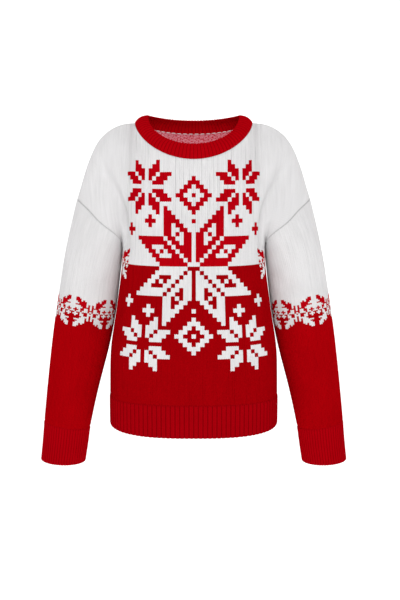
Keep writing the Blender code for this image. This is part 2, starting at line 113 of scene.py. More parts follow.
# Soft folds in front and back: each runs from one place to another. Across is 0 at the middle and 1 at the
# side, up is 0 at the hem rib and 1 at the shoulder line. The first three run where the solid's troughs do.
# The first of the front is deeper and narrower than that trough, and the last of the front lies over it.
FOLDS = {
    "front": {
        "across": ((0.80, 0.70), (0.66, 0.80), (0.70, 0.86), (0.30, 0.36), (0.52, 0.46), (0.93, 0.90),
                   (0.78, 0.70)),
        "up": ((0.93, 0.58), (0.50, 0.30), (0.34, 0.08), (0.26, 0.02), (0.30, 0.10), (0.52, 0.16),
               (0.92, 0.60)),
        "width": (0.062, 0.070, 0.060, 0.045, 0.040, 0.030, 0.045),
        "depth": (0.0085, 0.0030, 0.0025, 0.0012, -0.0010, 0.0012, 0.0050),
    },
    "back": {
        "across": ((0.82, 0.72), (0.30, 0.62), (0.12, 0.20), (0.50, 0.42), (0.76, 0.70), (0.93, 0.90)),
        "up": ((0.92, 0.56), (0.66, 0.36), (0.30, 0.10), (0.34, 0.04), (0.40, 0.10), (0.50, 0.14)),
        "width": (0.075, 0.080, 0.090, 0.050, 0.050, 0.030),
        "depth": (0.0050, 0.0045, 0.0030, 0.0018, -0.0014, 0.0012),
    },
}
# The same for a sleeve: degrees from its outer line over the front, and the share of its length from the top.
SLEEVE_FOLDS = {
    "turn": ((118, 76), (150, 96), (206, 246), (158, 118), (204, 236), (128, 60), (250, 200), (20, -14)),
    "down": ((0.10, 0.26), (0.18, 0.38), (0.12, 0.28), (0.47, 0.55), (0.50, 0.60), (0.80, 0.90), (0.78, 0.86),
             (0.30, 0.62)),
    "width": (13.0, 12.0, 15.0, 10.0, 12.0, 13.0, 15.0, 14.0),
    "depth": (0.0016, 0.0014, 0.0022, 0.0020, 0.0022, 0.0009, 0.0012, 0.0010),
}
FOLD_TAPER = 0.25  # of a fold's length, how far past and before each end it fades out
PANEL_FOLD_REACH = 8  # the more, the closer to a panel's lower and upper edge its folds still reach
SLEEVE_FOLD_REACH = 12  # the same for a sleeve

# ---- the knitting ---------------------------------------------------------------------------------------

COURSE = 0.00287  # height of a stitch
BODY_WALES = 112  # across the front, and as many across the back
SLEEVE_WALES = 100  # round a sleeve
WALE = 0.0043  # rough width of a stitch of a sleeve, for the dip along its seam
STITCH_DROP = 0.30  # of a course, how much lower the foot of a V is than its arms
WALE_PHASES = (0.0, 0.25, 0.5, 0.75)  # the columns of points in one wale
WALE_HEIGHTS = (-0.00050, 0.00016, -0.00006, 0.00016)  # how far the knit stands out at each of them
SHORT_COURSE = 0.35  # the least part of a course that stands by itself at the end of a wale
STREAK_DEPTH = 0.00035  # how much deeper the deepest grooves between wales are
STREAK_SHADE = 0.5  # how dark those are
# Their random field: courses to spare at each end, courses it is smoothed over, and where strength begins and
# over what range it grows, in spreads of the field.
STREAK_FIELD = {"spare": 40, "reach": 12, "begin": 0.35, "range": 1.4}
# How strongly grooves between wales show, in depth and in painted shade, at these courses and at the top.
STREAKS = {
    "front": {"courses": (0, 60, 120), "strength": (0.25, 0.25, 0.60, 1.25)},
    "back": {"courses": (0, 60, 120), "strength": (0.25, 0.22, 0.40, 0.55)},
    "sleeve": {"courses": (0, 60), "strength": (0.30, 0.30, 0.60)},
}
STRAIGHT_WALES = 36  # on each side of the middle, how many run straight up above the underarm
SPREAD_POWER = 1.3  # how the wales beyond those take up the width that is left
ROW_SHARE = 0.3  # how far the wales beyond those share out a row by its length, where it slants over them
WALE_BLEND = 0.03  # the width in which the stitches beyond those come to their own width
LOOSE_FROM = (0.605, 0.66)  # the places up between which the points beyond those stop following the wales
LOOSE_WALES = 4  # in how many wales beside the straight ones that comes in
PANEL_ROWS = (61, 91)  # rows of points of a panel's form up to the underarm, and from there up
SLEEVE_ROWS = 141  # rows of points of a sleeve's form
INNER_COLUMNS = 112  # columns of the plain inner side of a panel
INNER_ROWS = 2  # rows of points to one row of the inner side
SEAM_INSIDE = 0.0009  # how much thicker the cloth is inwards along its seams
SEAM_SHADE = 0.0009  # how far from a seam its line of painted shade reaches
PANEL_SEAM_SHADE = 0.25  # how strong that line is on a panel, of its strength on a sleeve
SHADE_RISE = (0.1, 0.45)  # the shares of the way up the armhole between which that line comes in
TOP_SHADE = 0.3  # how strong the line along a panel's upper edge is, which is twice as wide
SEAM_GROOVES = {  # how deep the cloth dips towards each kind of seam, and how wide that dip is
    "armhole": (0.0007, 0.0018),
    "side": (0.0006, 0.0030),
    "shoulder": (0.0005, 0.0030),
    "neck": (0.0009, 0.0030),
    "rib": (0.0007, 0.0022),
}
RIBS = {"hem": 52, "collar": 96, "cuff": 52}
RIB_PROFILE = (0.0, 0.42, 0.84, 0.98, 1.0, 0.98, 0.84, 0.42)  # how far each column of a rib stands out
BAND_ROWS = {"hem": 24, "collar": 16, "cuff": 26}  # rows of points down a band
# Beside its seam a band changes over this reach: how much of its relief and of the painted shade in its hollows
# it has there and gains, and how dark its own line of painted shade is.
BAND_SEAM = {"reach": 0.0018, "relief": (0.25, 0.75), "hollows": (0.6, 0.4), "line": 0.3}
BAND_TURNS = (35, 70, 110, 145)  # degrees round its free edge
BAND_EDGE_SHADE = 0.8  # how dark the painted shade in the hollows is there
INNER_RELIEF = 0.4  # of the outer relief, that of the inner side
INNER_SHADE = 1.3  # how dark the painted shade in the hollows of the inner side is
INNER_PAINTED_LIGHT = 1.0  # painted light: what is taken off the shade of the whole inner side, so it is paler
INNER_BAND_ROWS = 7  # rows of points down the inner side
HEM_EDGE_ROUND = 0.0008  # how much higher than the hem its last row ends, for the rounded edge below it
CUFF_BLEND = 0.12  # of a cuff's length, the part that comes from the end of the sleeve to its own form
RIB_RELIEF = {"hem": 0.0014, "collar": 0.0012, "cuff": 0.0011}

# The linking stitches inside the neck: how many, how much of its length each fills, where they lie off the
# neck seam, how thick they are and how they swell from end to end.
LINK = {"count": 60, "filled": 0.70, "above_seam": 0.0016, "inside": 0.0032, "radius": 0.0010, "sides": 8,
        "swell": (0.25, 0.75, 1.0, 1.0, 0.95, 1.0, 1.0, 0.75, 0.25)}

BODY_CHANGE = 100  # courses of red below the white
SLEEVE_CHANGE = 87  # the same on a sleeve
CELL = (2, 3)  # wales and courses to one cell of the chest chart
CHEST_HALF = 18  # cells of it on each side of the middle

# Right upper quarter of one small snowflake and half the gap beside it, from its top row down to the row
# above the change of colour. Columns run outwards from its middle. It is mirrored to the left and downwards.
SNOWFLAKE = (
    ".......##..",
    "......###..",
    "....#.###..",
    "...#####...",
    "...####....",
    ".#.######..",
    ".#.###.....",
    ".####......",
    ".#..##..#..",
    "##..##.###.",
    ".#...#..#..",
)
SNOWFLAKE_WALES = 20  # from one snowflake to the next
SLEEVE_FLAKE = 18  # the wale in the middle of the first snowflake of a sleeve
FRONT_FLAKE = 8  # the same from each side seam of the front
BACK_FLAKE = 16  # the same for the back

# Where the parts of a piece lie in its bake map, which goes from 0 up to 1: the end of the inner side, the
# start and the height of the outer side, and the rims between them.
MAP_INNER = 0.27
MAP_OUTER = (0.30, 0.70)
MAP_RIMS = {"low": (0.272, 0.279), "top": (0.281, 0.288), "first": (0.290, 0.293), "last": (0.294, 0.297)}
SHARP_EDGE = 65  # degrees of a bend that is shaded as an edge

# The floor under the garment, which bends up into a backdrop. It glows a little, as lit paper does.
STAGE = {"floor": -1.42, "half": 8.0, "bend_from": 4.5, "bend": 2.0, "glow": 0.5}

# ---- colours, linear --------------------------------------------------------------------------------------

WHITE = (0.84, 0.83, 0.835)
BODY_RED = (0.390, 0.0004, 0.0030)
SLEEVE_RED = (0.465, 0.0004, 0.0035)
PATTERN_RED = (0.530, 0.0006, 0.0060)
COLLAR_RED = (0.480, 0.0004, 0.0045)
HEM_RED = (0.395, 0.0004, 0.0040)
CUFF_RED = (0.450, 0.0004, 0.0045)
INSIDE_RED = (0.72, 0.030, 0.060)
INSIDE_PALE = (0.98, 0.50, 0.58)
THREAD = (1.0, 0.93, 0.93)


# ---- curves and surfaces, as in the solids ----------------------------------------------------------------

SAMPLES = 400


def spline(knots, values, at):
    """Natural cubic spline through values (one row for each knot), read at the places in at."""
    knots = np.asarray(knots, float)
    values = np.asarray(values, float)
    count = len(knots)
    step = np.diff(knots)
    slope = np.diff(values, axis=0) / step[:, None]
    system = np.eye(count)
    right = np.zeros_like(values)
    for i in range(1, count - 1):
        system[i, i - 1:i + 2] = step[i - 1], 2 * (step[i - 1] + step[i]), step[i]
        right[i] = 6 * (slope[i] - slope[i - 1])
    bend = np.linalg.solve(system, right)
    at = np.clip(np.asarray(at, float), knots[0], knots[-1])
    i = np.clip(np.searchsorted(knots, at, side="right") - 1, 0, count - 2)
    h = step[i][:, None]
    a = (knots[i + 1] - at)[:, None]
    b = (at - knots[i])[:, None]
    return ((bend[i] * a**3 + bend[i + 1] * b**3) / (6 * h)
            + (values[i] / h - bend[i] * h / 6) * a
            + (values[i + 1] / h - bend[i + 1] * h / 6) * b)


def along(points, shares):
    """Points at the given shares of the length of a smooth curve through points."""
    points = np.asarray(points, float)
    chord = np.concatenate([[0], np.cumsum(np.linalg.norm(np.diff(points, axis=0), axis=1))])
    fine = spline(chord, points, np.linspace(0, chord[-1], SAMPLES))
    length = np.concatenate([[0], np.cumsum(np.linalg.norm(np.diff(fine, axis=0), axis=1))])
    places = np.asarray(shares, float) * length[-1]
    return np.stack([np.interp(places, length, fine[:, k]) for k in range(3)], axis=-1)


def unit(vectors):
    return vectors / np.maximum(np.linalg.norm(vectors, axis=-1, keepdims=True), 1e-12)


def body_size(name, height):
    return spline(BODY["height"], np.asarray(BODY[name])[:, None], [height])[0, 0]


def section(face, height, across):
    """Half of a level cut through the body. across runs from -1 to 1, side seam to side seam, by length."""
    half_width = body_size("half_width", height)
    depth = body_size("front_depth" if face < 0 else "back_depth", height)
    angle = np.linspace(-math.pi / 2, math.pi / 2, 2 * SAMPLES + 1)
    x = half_width * np.sign(angle) * np.abs(np.sin(angle)) ** (2 / SECTION_POWER)
    y = face * depth * np.abs(np.cos(angle)) ** (2 / SECTION_POWER)
    length = np.concatenate([[0], np.cumsum(np.hypot(np.diff(x), np.diff(y)))])
    place = (np.asarray(across) + 1) / 2 * length[-1]
    px = np.interp(place, length, x)
    py = np.interp(place, length, y)
    return np.stack([px, py, np.full_like(px, height)], axis=-1)


def oval(sizes, angle):
    """A neck oval. The angle is 0 at the right side, 90 degrees at the back and 270 at the front."""
    across = np.cos(angle)
    back = np.sin(angle)
    rear = back > 0
    reach = np.where(rear, sizes["back"], sizes["front"])
    drop = np.where(rear, sizes["back_drop"] * np.abs(back) ** sizes["back_power"],
                    sizes["front_drop"] * np.abs(back) ** sizes["front_power"])
    x = sizes["half_width"] * across
    y = sizes["centre"] + reach * back
    return np.stack([x, y, sizes["top"] - drop], axis=-1)


def neck_normal(angle):
    """Outward from the cloth at the neck seam."""
    across = np.cos(angle)
    back = np.sin(angle)
    up = NECK_FACING["up_at_side"] * np.abs(across) + NECK_FACING["up_at_middle"] * np.abs(back)
    return unit(np.stack([NECK_FACING["across"] * across, NECK_FACING["level"] * back, up], axis=-1))


def neck_angle(face, across):
    quarter = np.asarray(across) / NECK_SHARE * math.pi / 2
    return -math.pi / 2 + quarter if face < 0 else math.pi / 2 - quarter


def shoulder_line(share):
    return along(np.stack([SHOULDER["x"], SHOULDER["y"], SHOULDER["z"]], axis=-1), share)


def armhole(face, share):
    """Points on the right armhole seam, from the underarm at 0 to the shoulder line at 1."""
    return along(np.stack([ARMHOLE["x"], face * np.asarray(ARMHOLE["depth"]), ARMHOLE["z"]], axis=-1), share)


def top_edge(face, across):
    """The upper edge of a panel: shoulder line, neck, shoulder line."""
    size = np.abs(across)
    sign = np.where(across < 0, -1.0, 1.0)
    neck = oval(NECK_SEAM, neck_angle(face, np.clip(across, -NECK_SHARE, NECK_SHARE)))
    shoulder = shoulder_line(np.clip((size - NECK_SHARE) / (1 - NECK_SHARE), 0, 1))
    shoulder[:, 0] *= sign
    return np.where((size < NECK_SHARE)[:, None], neck, shoulder)


def eased_corner(face, across):
    """How far the upper edge moves where its corners at the sides of the neck are rounded off."""
    half = SAMPLES // 2
    reach = half // 2
    fine = np.linspace(-1, 1, 2 * half + 1)
    exact = top_edge(face, fine)
    window = np.arange(-reach, reach + 1)
    weight = np.exp(-((window / half / NECK_CORNER_SPREAD) ** 2))
    weight /= weight.sum()
    before = 2 * exact[0] - exact[reach:0:-1]
    after = 2 * exact[-1] - exact[-2:-2 - reach:-1]
    padded = np.concatenate([before, exact, after])
    eased = np.stack([np.convolve(padded[:, k], weight, mode="valid") for k in range(3)], axis=-1)
    moved = (eased - exact) * (1 - np.abs(fine) ** EDGE_POWER)[:, None]
    return np.stack([np.interp(across, fine, moved[:, k]) for k in range(3)], axis=-1)


def smooth_step(value, low, high):
    share = np.clip((value - low) / (high - low), 0, 1)
    return share * share * (3 - 2 * share)


def panel_row(face, across, up):
    """One row of points of the front (face -1) or the back (face 1), at the height share up."""
    if up <= UNDERARM_SHARE:
        return section(face, HEM_TOP + (UNDERARM - HEM_TOP) * up / UNDERARM_SHARE, across)
    share = (up - UNDERARM_SHARE) / (1 - UNDERARM_SHARE)
    low = section(face, UNDERARM, across)
    high = top_edge(face, across) + (1 - share**CORNER_FADE_POWER) * eased_corner(face, across)
    over_shoulder = smooth_step(np.abs(across), *OVER_SHOULDER)
    rise = (1 - over_shoulder) * share + over_shoulder * math.sin(math.pi / 2 * share)
    round_way = 1 - math.cos(math.pi / 2 * share)
    reach = (1 - over_shoulder) * share**NECK_REACH_POWER + over_shoulder * round_way
    row = low + (high - low) * np.stack([reach, reach, rise], axis=-1)
    start, here, finish = armhole(face, [0.0, share, 1.0])
    plain = start + (finish - start) * np.array([round_way, round_way, math.sin(math.pi / 2 * share)])
    weight = np.abs(across) ** ARMHOLE_PULL_POWER
    pull = here - plain
    row[:, 0] += np.where(across < 0, -1, 1) * weight * pull[0]
    row[:, 1] += weight * pull[1]
    row[:, 2] += weight * pull[2]
    return row


def fold_depth(ends, heights, width, across, up):
    """A soft trough of depth 1 from one place to another, at the places across and up."""
    run = np.array([ends[1] - ends[0], heights[1] - heights[0]], float)
    length = np.linalg.norm(run)
    run = run / length
    dx = across - ends[0]
    dy = up - heights[0]
    travelled = (dx * run[0] + dy * run[1]) / length
    beside = dx * run[1] - dy * run[0]
    begun = smooth_step(travelled, -FOLD_TAPER, FOLD_TAPER)
    taper = begun * (1 - smooth_step(travelled, 1 - FOLD_TAPER, 1 + FOLD_TAPER))
    return taper * np.exp(-((beside / width) ** 2))


def grid_normals(points, closed=False):
    """Unit normals of a grid, by rows and columns. They point to the left of a step up seen along a row."""
    if closed:
        across = np.roll(points, -1, axis=1) - np.roll(points, 1, axis=1)
    else:
        across = np.gradient(points, axis=1)
    return unit(np.cross(across, np.gradient(points, axis=0)))


def tube_normals(points):
    """Outward unit normals of a tube, given ring by ring."""
    normals = grid_normals(points, closed=True)
    middle = points.mean(axis=1, keepdims=True)
    return -normals if ((points - middle) * normals).sum() < 0 else normals


def ring(table, share, angle):
    """A sleeve ring. The angle is 0 at the outer line, 90 degrees at the front and 180 at the inner line."""
    rows = np.linspace(0, 1, len(table["outer_x"]))
    names = ("outer_x", "outer_z", "inner_x", "inner_z", "half_depth", "middle_y")
    values = spline(rows, np.stack([table[name] for name in names], axis=-1), [share])[0]
    outer = np.array([values[0], values[5], values[1]])
    inner = np.array([values[2], values[5], values[3]])
    front = np.array([0.0, -values[4], 0.0])
    return (outer + inner) / 2 + np.cos(angle)[:, None] * (outer - inner) / 2 + np.sin(angle)[:, None] * front


# ---- charts -----------------------------------------------------------------------------------------------


def mirror_row(course):
    """Rows above and below a change of colour, counted from 0 both ways."""
    return course if course >= 0 else -1 - course


def snowflake_band(wale, course, first):
    """True where the small snowflakes are. course counts from the change of colour."""
    half = SNOWFLAKE_WALES // 2
    x = abs((wale - first + half) % SNOWFLAKE_WALES - half)
    y = mirror_row(course)
    return y < len(SNOWFLAKE) and SNOWFLAKE[len(SNOWFLAKE) - 1 - y][x] == "#"


def lozenge(x, y, size):
    """A lozenge with an outline two cells thick and a small solid middle, centred at 0, 0."""
    reach = abs(x) + abs(y)
    return size - 1 <= reach <= size or reach <= size - 4


def rose(x, y, size):
    """A star of eight petals, two parallelograms in each quarter. Large petals are hollow, with a dot."""
    x = abs(x)
    y = abs(y)
    for a, b in ((x, y), (y, x)):
        if 1 <= a <= size and a < b <= a + size:
            edge = min(a - 1, size - a, b - a - 1, a + size - b)
            return edge != 2
    return False


def chest_chart(x, y):
    """True where the figure on the chest is. x counts cells from the middle, y from the change of colour."""
    x = abs(x)
    return (
        rose(x, y, 7)
        or rose(x - 12, y - 19, 3)
        or lozenge(x, y - 17, 4)
        or lozenge(x - 17, y - 9, 1)
        or lozenge(x - 11, y - 11, 1)
        or lozenge(x, y - 11, 0)
    )


def front_is_red(wale, course):
    from_change = course - BODY_CHANGE
    cell_x = (wale - BODY_WALES // 2 + 1) // CELL[0]
    cell_y = mirror_row(from_change) // CELL[1] + 1
    if abs(cell_x) <= CHEST_HALF:
        return (from_change < 0) != chest_chart(cell_x, cell_y)
    from_side = min(wale, BODY_WALES - 1 - wale)
    return (from_change < 0) != snowflake_band(from_side, from_change, FRONT_FLAKE)


def back_is_red(wale, course):
    from_change = course - BODY_CHANGE
    return (from_change < 0) != snowflake_band(wale, from_change, BACK_FLAKE)


def sleeve_is_red(wale, course):
    from_change = course - SLEEVE_CHANGE
    return (from_change < 0) != snowflake_band(wale, from_change, SLEEVE_FLAKE)


# ---- making meshes ----------------------------------------------------------------------------------------


class Piece:
    """Collects points and faces of one piece, with two sets of map coordinates and its attributes."""

    def __init__(self, name):
        self.name = name
        self.points = []
        self.shades = []
        self.count = 0
        self.faces = []
        self.knit = []
        self.place = []
        self.red = []
        self.slots = []

    def add_points(self, points, shade=0.0):
        """Adds points and returns the index of the first."""
        first = self.count
        points = np.asarray(points, float).reshape(-1, 3)
        self.points.append(points)
        self.shades.append(np.broadcast_to(np.asarray(shade, float), len(points)).copy())
        self.count += len(points)
        return first

    def add_faces(self, faces, knit, place, red=0.0, slot=0):
        """Adds faces of one size, with knit and place coordinates for each corner."""
        self.faces.extend(np.asarray(faces).tolist())
        self.knit.append(np.asarray(knit, float).reshape(-1, 2))
        self.place.append(np.asarray(place, float).reshape(-1, 2))
        self.red.append(np.broadcast_to(np.asarray(red, float), len(faces)).copy())
        self.slots.append(np.full(len(faces), slot))

    def volume(self, points):
        """The volume that its faces hold, below 0 where they face inwards."""
        total = 0.0
        for size in sorted({len(face) for face in self.faces}):
            corners = points[np.array([face for face in self.faces if len(face) == size])]
            for k in range(1, size - 1):
                total += (corners[:, 0] * np.cross(corners[:, k], corners[:, k + 1])).sum() / 6
        return total

    def build(self, materials, mirror=False):
        points = np.concatenate(self.points)
        faces = self.faces
        knit = np.concatenate(self.knit)
        place = np.concatenate(self.place)
        if mirror:
            points = points * np.array([-1.0, 1.0, 1.0])
        if self.volume(points) < 0:
            starts = np.concatenate([[0], np.cumsum([len(f) for f in faces])])
            order = np.concatenate([np.arange(b - 1, a - 1, -1) for a, b in zip(starts[:-1], starts[1:])])
            faces = [f[::-1] for f in faces]
            knit = knit[order]
            place = place[order]
        mesh = bpy.data.meshes.new(self.name)
        mesh.from_pydata(points.tolist(), [], faces)
        mesh.polygons.foreach_set("material_index", np.concatenate(self.slots).astype(np.int32))
        for name, values in (("OFBake", place), ("Knit", knit)):
            layer = mesh.uv_layers.new(name=name)
            layer.uv.foreach_set("vector", values.astype(np.float32).ravel())
        mesh.uv_layers["OFBake"].active = True
        mesh.uv_layers["OFBake"].active_render = True
        red = mesh.attributes.new("red", "FLOAT", "FACE")
        red.data.foreach_set("value", np.concatenate(self.red).astype(np.float32))
        shade = mesh.attributes.new("shade", "FLOAT", "POINT")
        shade.data.foreach_set("value", np.concatenate(self.shades).astype(np.float32))
        mesh.shade_smooth()
        mesh.set_sharp_from_angle(angle=math.radians(SHARP_EDGE))
        for material in materials:
            mesh.materials.append(material)
        made = bpy.data.objects.new(self.name, mesh)
        bpy.context.scene.collection.objects.link(made)
        return made


def corner_places(u0, u1, v0, v1):
    """Map coordinates at the four corners of each face of a grid."""
    corners = [np.stack([u, v], -1) for u, v in ((u0, v0), (u0, v1), (u1, v1), (u1, v0))]
    return np.stack(corners, axis=2).reshape(-1, 4, 2)


def zip_edges(piece, outer, outer_at, inner, inner_at, strip, red, forward):
    """Closes the rim between two edges that run the same way, by triangles, forward or from their ends.

    outer_at and inner_at hold each point's place, and red the colour of the stitch after it.
    """
    if not forward:
        outer, inner, red = outer[::-1], inner[::-1], red[::-1]
        outer_at, inner_at = 1 - outer_at[::-1], 1 - inner_at[::-1]
    a = b = 0
    faces = []
    place = []
    reds = []
    while a < len(outer) - 1 or b < len(inner) - 1:
        reds.append(red[min(a, len(outer) - 2)])
        step_outer = b == len(inner) - 1 or (a < len(outer) - 1 and outer_at[a + 1] <= inner_at[b + 1])
        if step_outer:
            faces.append([outer[a], outer[a + 1], inner[b]])
            place.append([(outer_at[a], strip[1]), (outer_at[a + 1], strip[1]), (inner_at[b], strip[0])])
            a += 1
        else:
            faces.append([outer[a], inner[b + 1], inner[b]])
            place.append([(outer_at[a], strip[1]), (inner_at[b + 1], strip[0]), (inner_at[b], strip[0])])
            b += 1
    piece.add_faces(faces, np.full((len(faces), 3, 2), 0.5), place, reds, 0)


class Cloth:
    """A knitted surface: columns of points at every phase of every wale, read by their length from below.

    marks are other values at its points. "wale" is where a point is in the knitting, counted in wales.
    """

    def __init__(self, plain, normals, wales, **marks):
        self.plain = plain
        self.normals = normals
        self.wales = wales
        self.marks = marks
        steps = np.linalg.norm(np.diff(plain, axis=0), axis=2)
        self.run = np.concatenate([np.zeros((1, plain.shape[1])), np.cumsum(steps, axis=0)])

    def read(self, column, lengths):
        """Points and normals of one column at these lengths."""
        run = self.run[:, column]
        points = [np.interp(lengths, run, self.plain[:, column, k]) for k in range(3)]
        normals = [np.interp(lengths, run, self.normals[:, column, k]) for k in range(3)]
        return np.stack(points, axis=-1), unit(np.stack(normals, axis=-1))

    def mark(self, name, column, lengths):
        return np.interp(lengths, self.run[:, column], self.marks[name][:, column])

    def courses(self, column, shift):
        """The lengths of a column's courses, the last of them at its upper end."""
        whole = self.run[-1, column]
        count = max(1, math.ceil((whole + shift) / COURSE - SHORT_COURSE))
        lengths = np.arange(count + 1) * COURSE - shift
        lengths[0] = 0.0
        lengths[-1] = whole
        return lengths


def knit(piece, cloth, closed, groove, shade_at, is_red, streaks):
    """Adds the knitted outer side. Returns the index of each column's first point and its courses' lengths."""
    phases = len(WALE_PHASES)
    columns = cloth.plain.shape[1]
    made = []
    for column in range(columns):
        phase = column % phases
        near_valley = 2 * abs(WALE_PHASES[phase] - 0.5)
        lengths = cloth.courses(column, STITCH_DROP * (1 - near_valley) * COURSE)
        points, normals = cloth.read(column, lengths)
        relief = 1 - cloth.mark("loose", column, lengths)
        courses = np.minimum(np.arange(len(lengths)), len(streaks) - 1)
        streak = relief * streaks[courses, column // phases % cloth.wales]
        height = relief * WALE_HEIGHTS[phase] - STREAK_DEPTH * streak * near_valley**2 - groove(column, lengths)
        # Painted shade: the seam lines, and darker grooves between wales.
        shade = shade_at(column, lengths) + STREAK_SHADE * streak * (phase == 0)
        start = piece.add_points(points + height[:, None] * normals, shade)
        made.append((start, lengths, cloth.mark("wale", column, lengths)))
    tallest = max(len(lengths) for _, lengths, _ in made) - 1
    faces = {3: [], 4: []}
    for column in range(columns - (not closed)):
        sides = [(*made[column], column, (1, 0)), (*made[(column + 1) % columns], column + 1, (0, 1))]
        if column + 1 == columns:
            sides[1] = (sides[1][0], sides[1][1], sides[1][2] + cloth.wales, *sides[1][3:])
        wale = column // phases
        for course in range(max(len(side[1]) for side in sides) - 1):
            corners = []
            for start, lengths, wales, number, steps in sides:
                rows = [min(course + step, len(lengths) - 1) for step in steps]
                rows = rows if rows[0] != rows[1] else rows[:1]
                corners += [(start + row, wales[row], lengths[row] / COURSE, number) for row in rows]
            faces[len(corners)].append((corners, float(is_red(wale, course))))
    for group in faces.values():
        if group:
            at = np.array([[(u, v) for _, u, v, _ in corners] for corners, _ in group])
            number = np.array([[number for *_, number in corners] for corners, _ in group])
            upward = MAP_OUTER[0] + MAP_OUTER[1] * at[..., 1] / tallest
            where = np.stack([number / (cloth.wales * phases), upward], axis=-1)
            piece.add_faces([[point for point, *_ in corners] for corners, _ in group], at, where,
                            [red for _, red in group], 0)
    return made


def line_inside(piece, plain, normals, closed, wales):
    """Adds the plain inner side, a coarser grid. It is deeper along its edges, as the seams are inside.

    Returns the index of each of its points.
    """
    depth = np.full(plain.shape[:2], WALL)
    depth[[0, -1]] += SEAM_INSIDE
    if not closed:
        depth[:, [0, -1]] += SEAM_INSIDE
    first = piece.add_points(plain - depth[..., None] * normals)
    rows, columns = plain.shape[:2]
    index = first + np.arange(rows * columns).reshape(rows, columns)
    run = np.concatenate([[0], np.cumsum(np.linalg.norm(np.diff(plain, axis=0), axis=2).mean(axis=1))]) / COURSE
    low = np.arange(rows - 1)
    near = np.arange(columns if closed else columns - 1)
    after = (near + 1) % columns
    faces = np.stack([index[np.ix_(low, near)], index[np.ix_(low + 1, near)], index[np.ix_(low + 1, after)],
                      index[np.ix_(low, after)]], axis=-1).reshape(-1, 4)
    u0 = np.broadcast_to(near / len(near) * wales, (rows - 1, len(near)))
    u1 = u0 + wales / len(near)
    v0 = np.broadcast_to(run[:-1, None], u0.shape)
    v1 = np.broadcast_to(run[1:, None], u0.shape)
    at = corner_places(u0, u1, v0, v1)
    piece.add_faces(faces, at, at / np.array([wales, run[-1] / MAP_INNER]), 0.0, 1)
    return index


def close_rims(piece, made, inside, closed, is_red, outer_at, inner_at, side_at):
    """Joins the edges of the outer and the inner side all round, in the colours of the outer side.

    outer_at and inner_at give the places along the lower and the upper edge, and side_at those of the inner
    side along the side edges, each from 0 to 1.
    """
    phases = len(WALE_PHASES)
    spans = len(made) - (not closed)
    for top, strip in ((False, MAP_RIMS["low"]), (True, MAP_RIMS["top"])):
        line = [start + (len(lengths) - 1) * top for start, lengths, _ in made]
        edge = list(inside[-1 if top else 0])
        if closed:
            line.append(line[0])
            edge.append(edge[0])
        red = [float(is_red(column // phases, (len(made[column][1]) - 2) * top)) for column in range(spans)]
        zip_edges(piece, line, outer_at[top], edge, inner_at[top], strip, red, top)
    if closed:
        return
    for side, strip in ((0, MAP_RIMS["first"]), (-1, MAP_RIMS["last"])):
        start, lengths, _ = made[side]
        line = list(range(start, start + len(lengths)))
        edge = list(inside[:, side])
        red = [float(is_red((spans - 1) // phases if side else 0, course)) for course in range(len(line) - 1)]
        zip_edges(piece, line, lengths / lengths[-1], edge, side_at, strip, red, side == 0)


def streak_field(kind, cloth, wales, seed):
    """How strongly each groove between two wales shows, course by course: long soft runs, most of them faint."""
    courses = math.ceil(cloth.run[-1].max() / COURSE) + 2
    strength = np.interp(np.arange(courses), [*STREAKS[kind]["courses"], courses], STREAKS[kind]["strength"])
    spare = STREAK_FIELD["spare"]
    reach = STREAK_FIELD["reach"]
    noise = np.random.default_rng(seed).normal(size=(courses + 2 * spare, wales))
    window = np.exp(-((np.arange(-3 * reach, 3 * reach + 1) / reach) ** 2))
    soft = np.stack([np.convolve(noise[:, k], window, mode="same") for k in range(wales)], axis=-1)
    soft = soft[spare:spare + courses] / soft.std()
    return np.clip((soft - STREAK_FIELD["begin"]) / STREAK_FIELD["range"], 0, 1) * strength[:, None]


def dip(kind, distance):
    depth, width = SEAM_GROOVES[kind]
    return depth * np.exp(-((distance / width) ** 2))


# ---- materials ----------------------------------------------------------------------------------------------


